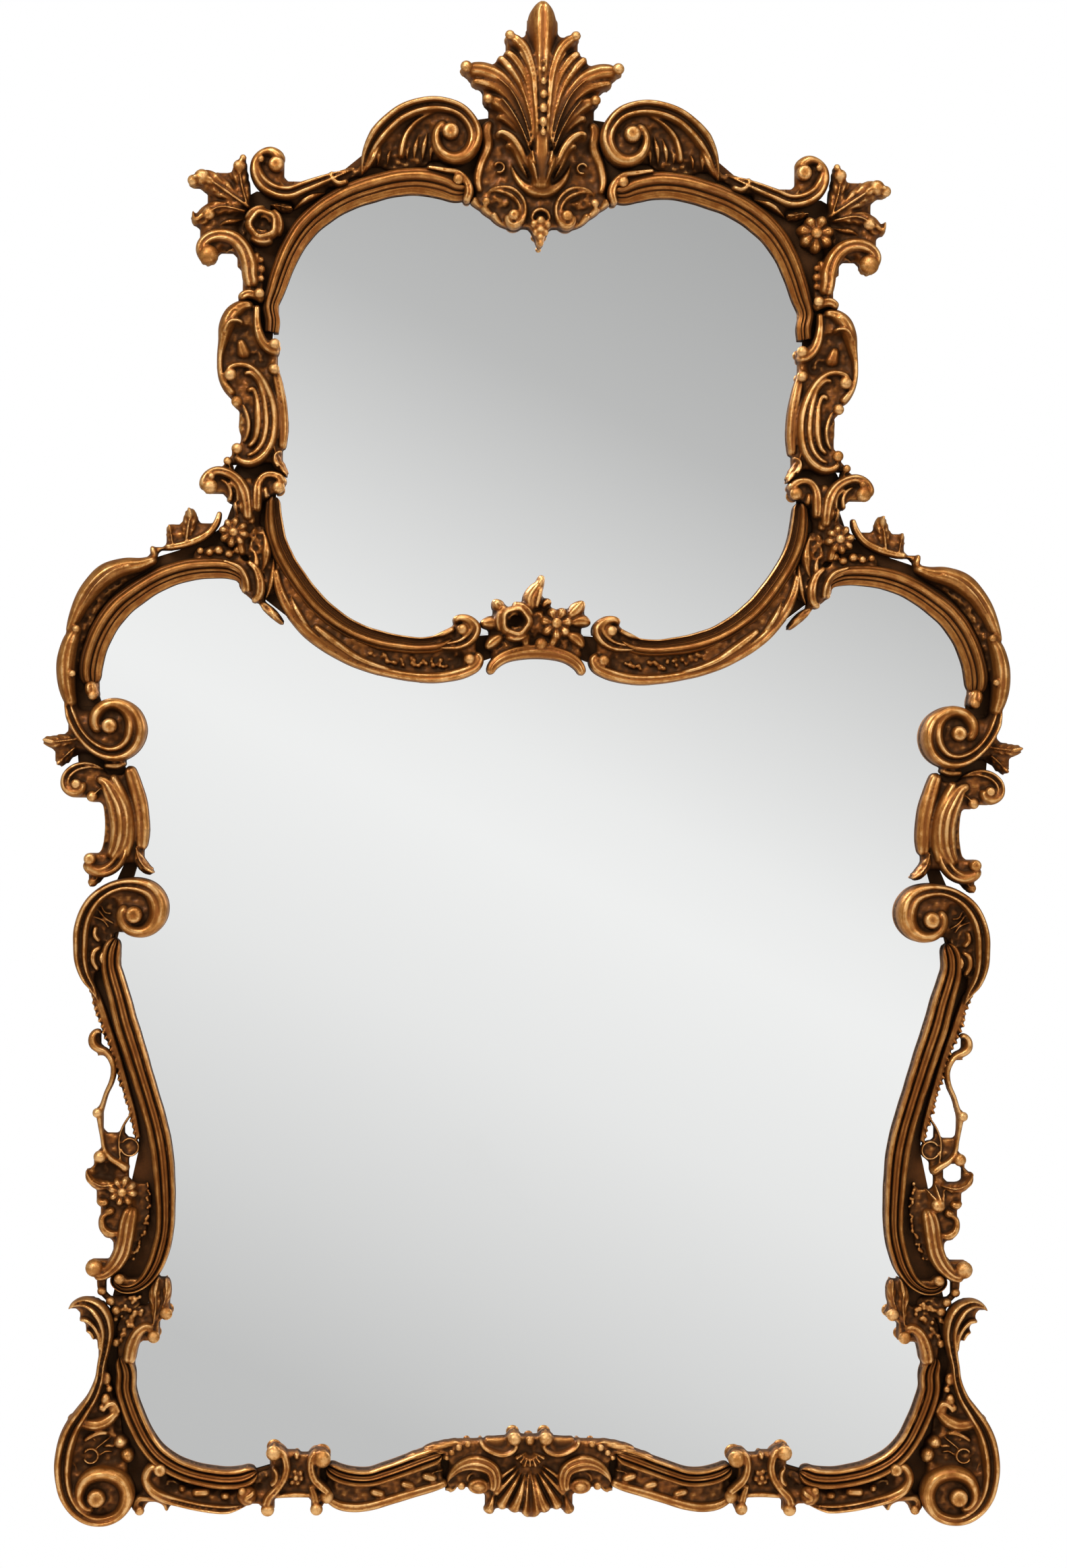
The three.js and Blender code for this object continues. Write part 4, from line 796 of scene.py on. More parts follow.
goldFinish = gildedWood("aged_gilding")
mouldingFinish = gildedWood("brushed_gilding", shadeAndGrimeLevel=0.2, brushed=1.35)
pineFinish = carcassFinish("pine_carcass")
backboardFinish = boardFinish("backboard_wood")
silverFinish = plateFinish("silvered_plate")
ironFinish = metalFinish("black_iron", paint(40, 34, 30), paint(96, 88, 80), 0.45)
brassFinish = metalFinish("dull_brass", paint(98, 74, 36), paint(176, 140, 74), 0.34)
print("stage: finishes made")


photograph = {
    "height": 2324,  # of the picture, in pixels
    "sensor": 36.0,
    "distance": 5500.0,  # from the wall plane, in millimetres like the two that follow
    "x": -275.83,
    "z": 1038.16,
    "yaw": -0.05008,  # in radians, like the two that follow
    "pitch": -0.00015,
    "roll": 0.00862,
    "focal": 5785.7,  # in pixels of the photograph
}


def makeCamera():
    data = bpy.data.cameras.new("photograph_camera")
    data.sensor_fit = "VERTICAL"
    data.sensor_height = photograph["sensor"]
    data.lens = photograph["sensor"] * photograph["focal"] / photograph["height"]
    data.clip_end = 60.0
    camera = bpy.data.objects.new("photograph_camera", data)
    x, y, z = photograph["x"], -photograph["distance"], photograph["z"] - mountHeight
    camera.location = (x / 1000, y / 1000, z / 1000)
    camera.rotation_mode = "QUATERNION"
    level = Matrix.Rotation(math.radians(90), 3, "X")
    turn = Matrix.Rotation(photograph["yaw"], 3, "Z")
    nod = Matrix.Rotation(photograph["pitch"], 3, "X")
    tip = Matrix.Rotation(-photograph["roll"], 3, "Y")
    camera.rotation_quaternion = (turn @ nod @ tip @ level).to_quaternion()
    bpy.context.scene.collection.objects.link(camera)
    bpy.context.scene.camera = camera


relief = {  # millimetres that each kind of carving stands forward of the carcass
    "moulding": 28, "scroll": 36, "volute": 43, "flower": 40, "shell": 47, "ground": 8, "vine": 18,
}


scrollShape = {
    "sections": ("scroll", "snail"),
    "swell": 0.34,  # how much wider than drawn the band is at its end
    "eyeRise": 1.06,  # height of the domed head, as a share of the band's
}


def scroll(carving, rows, eye=None, tall=36.0, turn=1):
    # a band that winds up into a domed head; turn is 1 if it winds to the left on its way
    count = len(rows) - 1
    rows = [[x, z, width * (1 + scrollShape["swell"] * (k / count) ** 2)]
            for k, (x, z, width) in enumerate(rows)]
    carving.stroke(rows, scrollShape["sections"], tall, ends=("point", "round"), flip=turn < 0)
    if eye:
        carving.eye(eye[0], eye[1], eye[2], tall * scrollShape["eyeRise"])


# along a petal, from the centre: place, width and rise
daisyPetal = ((0.2, 0.4, 0.8), (0.45, 0.72, 0.86), (0.72, 0.84, 0.92), (1.0, 0.5, 0.8))


def daisy(carving, x, z, radius, petals=8, tall=38.0, start=12.0, centre=0.3):
    # notched petals round a domed centre
    for k in range(petals):
        angle = math.radians(start + 360 * k / petals + carving.random.uniform(-4, 4))
        reach = radius * carving.random.uniform(0.94, 1.04)
        width = 2 * math.pi * radius * 0.78 / petals
        rows = []
        for share, wide, rise in daisyPetal:
            out = share * reach
            rows.append([x + out * math.cos(angle), z + out * math.sin(angle), width * wide, rise])
        carving.stroke(rows, "lobe", tall * 0.84, lift=2, ends=("flat", "round"), even=True, step=petalStep)
    carving.ball(x, z, radius * centre, tall)


# radius and rise of the rings of a rose's cup
roseCup = ((0.8, 0.0), (0.98, 0.3), (1.0, 0.6), (0.93, 0.82), (0.8, 0.96), (0.68, 1.0), (0.58, 0.9),
           (0.5, 0.62), (0.4, 0.42), (0.1, 0.36))


def rose(carving, x, z, radius, tall=40.0):
    # a deep cup with a thick rim, wrapped in petals, round a dark heart
    carving.turned(x, z, [(radius * 0.82 * out, tall * rise) for out, rise in roseCup], count=40,
                   frill=(5, 0.05))
    for start, sweep, out, rise in ((15, 85, 0.84, 0.86), (120, 95, 0.87, 0.82), (235, 80, 0.85, 0.88),
                                    (60, 120, 0.36, 0.86), (220, 110, 0.34, 0.8)):
        rows = []
        for share in (0, 0.33, 0.67, 1):
            angle = math.radians(start + sweep * share)
            rows.append([x + out * radius * math.cos(angle), z + out * radius * math.sin(angle),
                         0.3 * radius * out ** 0.5, rise if 0.2 < share < 0.8 else rise * 0.86])
        carving.stroke(rows, "bead", tall, ends=("round", "round"), even=True, step=petalStep)


def berries(carving, rows, count, radius, tall, spread=6.0):
    # small buds strewn along a line
    path, run = smoothPath(rows, 1.5)
    for k in range(count):
        at = run[-1] * (k + carving.random.uniform(0.1, 0.9)) / count
        x, z = np.interp(at, run, path[:, 0]), np.interp(at, run, path[:, 1])
        dx, dz = carving.random.uniform(-spread, spread, 2)
        carving.ball(x + dx, z + dz, radius * carving.random.uniform(0.75, 1.25),
                     tall * carving.random.uniform(0.85, 1.1))


def turnedOver(rows, half):
    # rows of a centre piece, on its left for -1 and on its right for 1
    return [[half * row[0]] + list(row[1:]) for row in rows]


crest = {
    "relief": 56,
    "plume": [
        [[6, 1925, 5], [9, 1980, 9], [14, 2030, 13], [27, 2062, 15], [46, 2079, 13]],
        [[8, 1920, 5], [13, 1975, 9], [22, 2018, 12], [38, 2045, 13], [53, 2058, 9]],
        [[9, 1915, 5], [16, 1965, 9], [28, 2005, 12], [45, 2033, 13], [62, 2051, 8]],
        [[10, 1915, 5], [19, 1955, 10], [34, 1992, 14], [56, 2019, 19], [80, 2030, 20], [98, 2032, 17],
         [108, 2034, 12]],
        [[12, 1912, 5], [22, 1950, 9], [38, 1981, 12], [58, 2004, 13], [80, 2013, 11], [99, 2016, 6]],
        [[12, 1908, 5], [24, 1940, 10], [40, 1966, 13], [58, 1985, 15], [75, 1992, 12]],
        [[13, 1904, 5], [25, 1932, 9], [38, 1953, 10], [54, 1966, 9], [64, 1967, 7]],
    ],
    "rises": (0.98, 0.9, 0.86, 0.82, 0.74, 0.7, 0.62),
    "creases": [
        [[8, 1935, 3], [12, 1990, 3.4], [22, 2035, 3.2], [36, 2060, 2.6]],
        [[11, 1925, 3], [19, 1975, 3.4], [33, 2015, 3.4], [50, 2040, 2.6]],
        [[13, 1920, 3], [24, 1962, 3.4], [42, 1999, 3.4], [66, 2022, 2.8]],
        [[15, 1915, 3], [28, 1948, 3.4], [46, 1978, 3.2], [60, 1994, 2.4]],
        [[3.5, 1935, 2.6], [5, 1985, 2.8], [8, 2030, 3], [13, 2060, 2.4]],
    ],
    "berries": ((1942, 5), (1957, 6.5), (1976, 6.5), (1995, 6), (2013, 5), (2029, 4), (2041, 3)),
}


def buildCrestLeaf():
    c = Carving(1, 11)
    tall = crest["relief"]
    for half in (-1, 1):
        for rows, rise in zip(crest["plume"], crest["rises"]):
            wide = [[x, z, width * 1.3] for x, z, width in rows]
            c.stroke(turnedOver(wide, half), "lobe", tall * rise, ends=("point", "round"), even=True)
        for rows in crest["creases"]:
            c.stroke(turnedOver(rows, half), "bead", tall * 0.9, ends=("point", "point"), even=True)
        c.ball(half * 106, 2034, 8.5, tall * 0.92)
        c.ball(half * 75, 1991, 7.5, tall * 0.78)
        c.ball(half * 46, 2078, 7, tall * 0.98)
        # the horn that springs from the boss
        c.stroke(turnedOver([[12, 1884, 7], [22, 1904, 10], [31, 1923, 13], [43, 1938, 13], [56, 1944, 9],
                             [64, 1940, 6]], half), "lobe", tall * 0.86, ends=("point", "round"), even=True)
        c.stroke(turnedOver([[17, 1880, 4], [29, 1902, 6], [38, 1922, 8], [50, 1930, 6]], half), "bead",
                 tall * 0.7, ends=("point", "round"), even=True)
        c.stroke([[half * (58 + 7 * math.cos(a)), 1898 + 7 * math.sin(a), 4.5]
                  for a in np.linspace(0, 5.5, 9)], "bead", tall * 0.42, even=True)
        c.stroke(turnedOver([[84, 1862, 9], [88, 1880, 12], [84, 1902, 13], [74, 1930, 16], [76, 1950, 17],
                             [70, 1964, 10]], half), "lobe", tall * 0.36, even=True)
        # the lip below the boss
        c.stroke(turnedOver([[42, 1904, 6], [36, 1888, 12], [25, 1873, 17], [10, 1865, 19], [0, 1863, 19]],
                            half), "lobe", tall * 0.62, ends=("point", "flat"), even=True)
        c.stroke(turnedOver([[9, 1895, 6], [13, 1910, 6], [14, 1919, 6]], half), "bead", tall * 1.12,
                 even=True)
        # the scroll of the collar
        scroll(c, turnedOver([[78, 1858, 7], [68, 1866, 10], [54, 1867, 13], [39, 1862, 14], [28, 1850, 13],
               [25, 1836, 12], [29, 1823, 11], [38, 1818, 9.5], [45, 1824, 8], [44, 1833, 8]], half),
               (half * 37, 1831, 8), 34, turn=half)
        c.ball(half * 76, 1850, 6, 30)
        for rows in ([[96, 1856, 10], [86, 1846, 14], [74, 1836, 8]],
                     [[82, 1846, 9], [70, 1834, 13], [58, 1824, 7]],
                     [[68, 1836, 8], [58, 1824, 11], [46, 1815, 6]]):
            c.stroke(turnedOver(rows, half), "bead", 26, ends=("round", "point"), even=True)
        c.web(turnedOver([[0, 1888, 56], [30, 1872, 56], [62, 1856, 34], [84, 1860, 16]], half), 15)
        for x, z in ((9, 1819), (6, 1807)):
            c.ball(half * x, z, 5.5, 34)
    # the middle lobe, whose tip curls forward
    c.stroke([[0, 1960, 10], [0, 2000, 20], [0, 2040, 30], [0, 2068, 34], [0, 2090, 38], [0, 2112, 32],
              [0, 2130, 18]], "lobe", tall, ends=("point", "round"), even=True)
    c.blade([[9, 2062, 12], [16, 2080, 14], [20, 2096, 10], [22, 2104, 5]], tall * 0.9)
    c.blade([[-8, 2058, 12], [-15, 2076, 12], [-17, 2090, 8]], tall * 0.9)
    c.stroke([[0, 1868, 20], [0, 1905, 28], [0, 1950, 24], [0, 1990, 14], [0, 2030, 6]], "flat", 50,
             even=True)
    for z, radius in crest["berries"]:
        c.ball(1, z, radius * 0.86, 62 + (z - 1942) * 0.02, tall=1.35)
    c.stroke([[0, 1862, 22, 0.62], [0, 1876, 38, 0.84], [0, 1892, 47, 1.0], [0, 1908, 42, 1.0],
              [0, 1922, 27, 0.94], [0, 1938, 10, 0.84]], "bead", 70, ends=("round", "point"), even=True)
    for half in (-1, 1):
        c.stroke(turnedOver([[20, 1916, 6], [15, 1900, 8], [9, 1884, 7], [5, 1870, 4]], half), "bead", 73,
                 ends=("point", "point"), even=True)
    c.stroke([[0, 1860, 26], [0, 1836, 26], [0, 1812, 20], [0, 1788, 8]], "flat", 20, even=True)
    c.stroke([[-13, 1824, 5], [-9, 1835, 7], [0, 1839, 8], [9, 1835, 7], [13, 1824, 5]], "bead", 36,
             even=True)
    for z, radius in ((1824, 6), (1811, 6), (1800, 5.5), (1791, 4.5)):
        c.ball(0, z, radius, 37)
    c.finish("crest_leaf_carved", goldFinish, voxel=0.0017)


def buildMiddleFlowers():
    c = Carving(1, 12)
    rose(c, -30, 1264, 29, 44)
    daisy(c, 27, 1262, 25, 7, 40)
    # leaves round the flowers, each with a crease: their lines, then how far they rise
    for rows, tall in (
            ([[-8, 1278, 12], [-9, 1294, 20], [-2, 1308, 19], [4, 1318, 12], [7, 1330, 8]], 34),
            ([[-2, 1282, 6], [2, 1298, 9], [5, 1312, 6]], 38),
            ([[-50, 1262, 9], [-63, 1262, 18], [-80, 1260, 8]], 27),
            ([[-46, 1246, 9], [-60, 1236, 18], [-72, 1226, 8]], 26),
            ([[-44, 1274, 8], [-54, 1286, 17], [-61, 1295, 9]], 31),
            ([[42, 1270, 9], [56, 1282, 19], [66, 1294, 8]], 29),
            ([[46, 1262, 9], [62, 1266, 18], [76, 1262, 8]], 27),
            ([[42, 1248, 9], [57, 1240, 18], [66, 1228, 8]], 27),
            ([[6, 1284, 8], [14, 1292, 11], [20, 1288, 6]], 30)):
        c.stroke(rows, "lobe", tall, even=True, step=smallStep)
    # the arch that carries them
    c.stroke([[-66, 1190, 10], [-60, 1203, 14], [-46, 1214, 16], [-24, 1221, 18], [0, 1223, 19],
              [24, 1221, 18], [46, 1214, 16], [60, 1203, 14], [66, 1190, 10]], "threeReeds", 27, even=True)
    c.ball(6, 1233, 9, 31)
    c.stroke([[-14, 1228, 10], [-16, 1240, 14], [-12, 1250, 10]], "lobe", 28, even=True)
    c.stroke([[18, 1228, 9], [24, 1238, 13], [26, 1248, 9]], "lobe", 27, even=True)
    c.web([[-62, 1212, 16], [-40, 1232, 26], [0, 1240, 34], [40, 1232, 26], [62, 1212, 16]], 15)
    c.web([[0, 1244, 40], [1, 1266, 26], [2, 1284, 18]], 24)
    c.finish("middle_flowers_carved", goldFinish, gap=2)


shell = {
    # the fan's lobes on one side: top of the rib, its foot, width there and rise
    "lobes": (((5, 78), (15, 42), (25, 20), 21, 0.93), ((9, 80), (29, 48), (42, 24), 17, 0.82),
              ((12, 84), (34, 60), (50, 44), 12, 0.72), ((13, 88), (34, 74), (48, 62), 10, 0.64)),
    "fanRibs": 7,
}


def buildShell():
    c = Carving(1, 13)
    tall = relief["shell"]
    for half in (-1, 1):
        for top, middle, foot, width, rise in shell["lobes"]:
            c.stroke([[half * top[0], top[1], width * 0.3, 0.75],
                      [half * middle[0], middle[1], width * 0.66, 0.95],
                      [half * foot[0], foot[1], width, 0.96]], "lobe", tall * rise, ends=("point", "round"),
                     even=True, step=smallStep)
        # the flared foot beside the fan
        c.stroke(turnedOver([[50, 52, 8, 0.8], [51, 38, 13, 0.9], [55, 25, 21, 1.0], [59, 16, 26, 0.9]],
                            half), "lobe", tall * 0.72, ends=("point", "round"), even=True, step=smallStep)
        # arch over the rolled volute
        c.stroke(turnedOver([[51, 48, 12], [48, 64, 17], [52, 79, 20], [64, 87, 22], [82, 89, 23],
                             [99, 82, 23], [111, 69, 20], [116, 58, 13]], half), "threeReeds", 38,
                 ends=("round", "point"), even=True)
        c.stroke(turnedOver([[57, 60, 6], [60, 70, 7], [72, 76, 8], [84, 71, 7], [88, 60, 6]], half),
                 "bead", 20, even=True)
        c.turned(half * 71, 57, [(15, 0), (15.5, 24), (14, 29), (11, 31), (9.6, 29), (8.4, 33), (5, 36),
                                 (0.8, 37)], squash=0.72, count=30)
        c.ball(half * 95, 57, 6, 28)
        c.frond(turnedOver([[100, 58, 10], [108, 52, 16], [118, 52, 8]], half), 18, lobes=3, lean=0.5,
                rib=False)
        for x, z, radius in ((87, 115, 5), (99, 110, 5.2), (109, 103, 4.6), (116, 96, 3.6)):
            c.ball(half * x, z, radius, 28)
        c.stroke(turnedOver([[122, 92, 6], [108, 104, 9], [92, 112, 10], [74, 114, 8]], half), "flat", 18,
                 even=True)
        # the dish with its bright lip and the ball on its end
        c.stroke(turnedOver([[70, 120, 5], [64, 111, 7], [52, 104, 8], [38, 101, 9], [24, 106, 9],
                             [17, 117, 8]], half), "bead", 36, even=True)
        c.stroke(turnedOver([[64, 119, 8], [46, 114, 18], [28, 118, 14]], half), "flat", 14, even=True)
        c.ball(half * 22, 124, 9.5, 40)
        c.frond(turnedOver([[78, 112, 8], [104, 113, 12], [130, 108, 12], [150, 104, 6]], half), 20,
                lobes=4, lean=0.9, rib=False)
        c.frond(turnedOver([[112, 103, 8], [136, 101, 11], [160, 96, 11], [176, 91, 6]], half), 22, lobes=4,
                lean=0.9, rib=False)
    c.stroke([[0, 84, 9, 0.75], [1, 52, 19, 0.95], [2, 26, 31, 1.02], [2, 12, 35, 0.94]], "petal", tall,
             ends=("point", "round"), even=True, step=smallStep)
    for k in range(shell["fanRibs"]):
        # the small fan at the top
        angle = math.radians(-90 + 22 * (k - (shell["fanRibs"] - 1) / 2))
        tip = 0.94 if k % 2 else 1.0
        c.stroke([[4 * math.cos(angle), 106 + 4 * math.sin(angle), 2.6, 0.9],
                  [24 * tip * math.cos(angle), 106 + 24 * tip * math.sin(angle), 8, 1.0]], "bead",
                 tall * 0.9, ends=("point", "round"), even=True, step=smallStep)
    c.web([[-62, 88, 50], [0, 84, 60], [62, 88, 50]], 10)
    c.web([[-44, 50, 50], [0, 50, 70], [44, 50, 50]], 10)
    c.web([[-22, 118, 14], [0, 112, 22], [22, 118, 14]], 16)
    c.ball(0, 120, 7, 30)
    c.finish("shell_carved", goldFinish)


def headMoulding(c):
    c.stroke([[98, 1866, 22], [117, 1866, 30], [135, 1873, 36], [165, 1879, 38], [200, 1877, 38],
              [235, 1868, 37], [270, 1855, 36], [303, 1835, 36], [328, 1812, 34], [347, 1783, 32],
              [360, 1752, 30], [369, 1724, 27], [376, 1700, 22], [373, 1680, 22], [374, 1664, 20]],
             "moulding", relief["moulding"], even=True, ends=("round", "flat"))
    c.stroke([[160, 1897, 5], [135, 1893, 8], [115, 1889, 9], [103, 1876, 11], [100, 1862, 12],
              [105, 1848, 9]], "twoReeds", 33)
    c.ball(115, 1880, 8, 34)


def crestScroll(c):
    c.web([[226, 1900, 30], [200, 1920, 60], [170, 1935, 70], [140, 1940, 60]], relief["ground"])
    scroll(c, [[250, 1884, 20], [246, 1900, 24], [240, 1918, 24], [230, 1936, 24], [214, 1955, 23],
               [194, 1971, 22], [168, 1981, 21], [140, 1983, 20], [114, 1975, 19], [98, 1958, 18.5],
               [93, 1940, 18], [99, 1922, 17], [110, 1912, 16], [124, 1910, 15], [138, 1917, 13],
               [145, 1930, 11.5], [145, 1943, 11], [139, 1952, 12], [130, 1954, 12]], (127, 1945, 12),
           relief["volute"])
    c.stroke([[196, 1908, 8], [194, 1925, 10], [188, 1943, 9], [176, 1958, 8], [162, 1968, 6],
              [146, 1974, 4]], "bead", 30)
    for rows in ([[246, 1888, 8], [236, 1905, 9], [226, 1925, 7], [218, 1938, 4]],
                 [[228, 1898, 7], [226, 1912, 8], [222, 1926, 5]],
                 [[214, 1900, 8], [213, 1912, 9], [208, 1924, 5]]):
        c.blade(rows, 32)
    for x, high, wide in ((151, 1938, 9), (162, 1950, 11), (174, 1946, 10), (184, 1930, 8)):
        c.blade([[x + 3, 1906, wide * 0.6], [x + 2, 1922, wide], [x - 4, high, wide * 0.5]], 24)
    c.stroke([[268, 1876, 8], [282, 1872, 9], [292, 1880, 8], [291, 1890, 6]], "bead", 30)
    # the smaller scroll at the corner
    c.web([[256, 1893, 14], [290, 1880, 18], [330, 1866, 14]], relief["ground"])
    scroll(c, [[262, 1893, 5], [285, 1884, 10], [305, 1876, 14], [330, 1866, 17], [352, 1858, 18],
               [372, 1861, 18], [388, 1872, 18], [396, 1888, 16], [396, 1902, 12], [388, 1912, 10],
               [377, 1914, 12], [368, 1907, 15], [368, 1897, 18]], (369, 1896, 11), relief["scroll"])
    c.ball(390, 1903, 5, 34)
    c.blade([[352, 1864, 6], [360, 1868, 7], [365, 1877, 5]], 37)
    c.blade([[335, 1868, 6], [342, 1870, 6], [345, 1876, 4]], 36)
    c.blade([[345, 1835, 6], [325, 1850, 8], [300, 1860, 6]], 30)


def cornerLeaves(c):
    c.web([[398, 1838, 30], [408, 1812, 30], [412, 1786, 18]], relief["ground"])
    # three leaves spread from the corner
    c.frond([[405, 1835, 18], [425, 1848, 34], [448, 1864, 38], [468, 1876, 30], [486, 1876, 16]], 36,
            lobes=5)
    c.ball(472, 1877, 11, 37)
    c.ball(484, 1872, 8, 35)
    c.blade([[440, 1866, 8], [447, 1877, 9], [450, 1887, 5]], 33)
    c.frond([[408, 1836, 14], [415, 1860, 28], [420, 1885, 26], [416, 1905, 12]], 35, lobes=4)
    c.ball(420, 1893, 9, 36)
    c.ball(415, 1904, 5, 34)
    c.blade([[424, 1868, 8], [431, 1878, 9], [435, 1887, 5]], 31)
    c.blade([[418, 1878, 8], [423, 1888, 8], [426, 1896, 4]], 31)
    c.frond([[410, 1830, 14], [440, 1836, 26], [465, 1828, 26], [479, 1815, 16], [484, 1830, 10]], 34,
            lobes=4)
    c.ball(462, 1826, 9, 36)
    c.blade([[412, 1822, 10], [424, 1818, 12], [440, 1815, 10], [452, 1808, 6]], 30)
    # the scroll below, which turns out to a ball
    c.stroke([[400, 1722, 18], [404, 1740, 20], [406, 1760, 21], [414, 1780, 20], [428, 1793, 19],
              [447, 1797, 18], [463, 1792, 17], [472, 1780, 15], [468, 1768, 13], [460, 1765, 13]],
             ("twoReeds", "twoReeds"), relief["scroll"], ends=("round", "round"))
    c.ball(462, 1769, 14, 38)
    c.blade([[424, 1774, 8], [432, 1778, 9], [438, 1774, 5]], 32)
    c.blade([[412, 1752, 7], [418, 1758, 8], [422, 1755, 4]], 30)
    c.frond([[378, 1840, 8], [362, 1838, 16], [345, 1836, 9]], 30, lobes=3, lean=0.5)
    c.stroke([[396, 1728, 8], [397, 1750, 10], [394, 1776, 8]], "bead", 26, even=True)
    for z, radius in ((1738, 5), (1751, 6), (1764, 4.5)):
        c.ball(389, z, radius, 24)
    c.stroke([[420, 1708, 10], [408, 1716, 13], [396, 1714, 12], [384, 1706, 10]], "twoReeds", 34)
    c.ball(391, 1716, 7.5, 38)


upperSide = {
    "outerReed": [[428, 1600, 12], [432, 1611, 10], [420, 1617, 9], [405, 1615, 9], [390, 1603, 10],
                  [378, 1582, 11], [370, 1556, 11], [369, 1530, 11], [374, 1506, 12], [386, 1489, 13],
                  [402, 1481, 12], [416, 1484, 11], [422, 1492, 9]],
    "middleReed": [[413, 1605, 6], [402, 1606, 9], [391, 1596, 10], [384, 1575, 11], [380, 1550, 12],
                   [380, 1528, 12], [385, 1508, 11], [396, 1495, 9], [408, 1490, 6]],
    "innerReed": [[408, 1580, 8], [399, 1584, 9], [393, 1572, 10], [391, 1552, 13], [391, 1530, 13],
                  [396, 1512, 10], [406, 1502, 7]],
    "lastReed": [[413, 1563, 5], [407, 1550, 7], [404, 1535, 7.5], [406, 1520, 7], [412, 1508, 5]],
}


def upperSideScroll(c):
    c.web([[424, 1690, 20], [410, 1660, 50], [404, 1630, 56], [398, 1600, 50]], relief["ground"])
    c.stroke([[398, 1700, 10], [412, 1700, 16], [426, 1690, 22], [436, 1672, 20], [441, 1650, 13],
              [444.5, 1630, 9], [444, 1610, 9], [440, 1595, 10], [432, 1583, 12], [424, 1574, 10]], "lobe",
             33)
    c.stroke([[440, 1660, 6], [432, 1676, 7], [420, 1678, 7], [412, 1674, 6]], "bead", 35)
    c.vein([[405, 1692, 6], [420, 1695, 8], [432, 1680, 5]], 36)
    c.stroke([[418, 1655, 10], [414, 1640, 18], [410, 1625, 22]], "lobe", 17, even=True)
    c.stroke([[394, 1702, 8], [394, 1680, 10], [391, 1662, 12], [384, 1647, 13], [372, 1638, 13],
              [362, 1638, 10]], "twoReeds", 33)
    c.ball(369, 1646, 8, 36)
    c.ball(370, 1612, 8, 28)
    for key, tall in (("outerReed", 34), ("middleReed", 32), ("innerReed", 29), ("lastReed", 25)):
        c.stroke(upperSide[key], "bead", tall)
    c.web([[404, 1590, 30], [396, 1550, 44], [402, 1510, 36]], relief["ground"] + 4)
    for x, z, radius, top in ((421, 1566, 8, 30), (420, 1500, 8, 36), (430, 1603, 9, 35),
                              (433, 1483, 6, 28)):
        c.ball(x, z, radius, top)
    c.stroke([[372, 1622, 8], [366, 1600, 12], [361, 1575, 14], [358, 1550, 15], [357, 1525, 14],
              [358, 1500, 10]], "twoReeds", 20)
    c.frond([[368, 1505, 8], [366, 1488, 18], [358, 1474, 16], [350, 1463, 6]], 27, lobes=3, lean=0.6)
    c.stroke([[357, 1498, 4], [366, 1494, 5], [368, 1484, 5], [362, 1474, 4]], "bead", 30)


def waistScroll(c):
    c.web([[400, 1400, 30], [404, 1440, 50], [404, 1458, 60]], relief["ground"])
    c.stroke([[404, 1400, 12], [405, 1420, 14], [409, 1440, 16], [418, 1456, 14], [432, 1466, 13],
              [447, 1469, 13], [459, 1463, 14], [464, 1452, 16], [460, 1444, 16]], "twoReeds",
             relief["scroll"])
    c.ball(457, 1447, 11, 38)
    c.ball(455, 1461, 5, 36)
    c.stroke([[430, 1425, 8], [428, 1440, 8], [434, 1452, 7], [444, 1458, 5]], "bead", 28)
    c.stroke([[418, 1425, 6], [420, 1445, 8], [432, 1455, 6]], "bead", 30)
    c.stroke([[392, 1412, 12], [392, 1435, 14], [390, 1452, 12], [382, 1463, 10], [371, 1465, 10],
              [360, 1460, 12], [355, 1450, 14]], "twoReeds", 34)
    c.ball(362, 1447, 9, 36)
    c.stroke([[378, 1430, 10], [380, 1442, 10], [380, 1450, 8]], "bead", 28)
    c.stroke([[400, 1395, 14], [402, 1430, 14], [404, 1462, 12]], "flat", 20, even=True)
    c.ball(433, 1483, 6, 30)
    for x in (404, 411, 418):
        c.stroke([[x - 2, 1402, 6], [x + 2, 1414, 8], [x + 4, 1428, 5]], "bead", 30,
                 ends=("point", "round"))
    c.frond([[424, 1464, 8], [430, 1476, 12], [434, 1490, 6]], 26, lobes=2)
    c.web([[392, 1396, 30], [390, 1366, 34], [382, 1330, 30], [370, 1298, 26]], 13, 6)
    c.blade([[384, 1392, 8], [378, 1366, 13], [380, 1342, 13], [388, 1324, 8]], 27)
    c.blade([[398, 1366, 7], [392, 1346, 12], [396, 1328, 9], [404, 1318, 5]], 25)
    c.vein([[368, 1352, 5], [369, 1326, 9], [374, 1304, 8], [380, 1290, 4]], 24)
    daisy(c, 424, 1384, 22, 8, relief["flower"])
    c.stroke([[414, 1372, 8], [414, 1362, 12], [410, 1352, 8]], "lobe", 26, even=True)


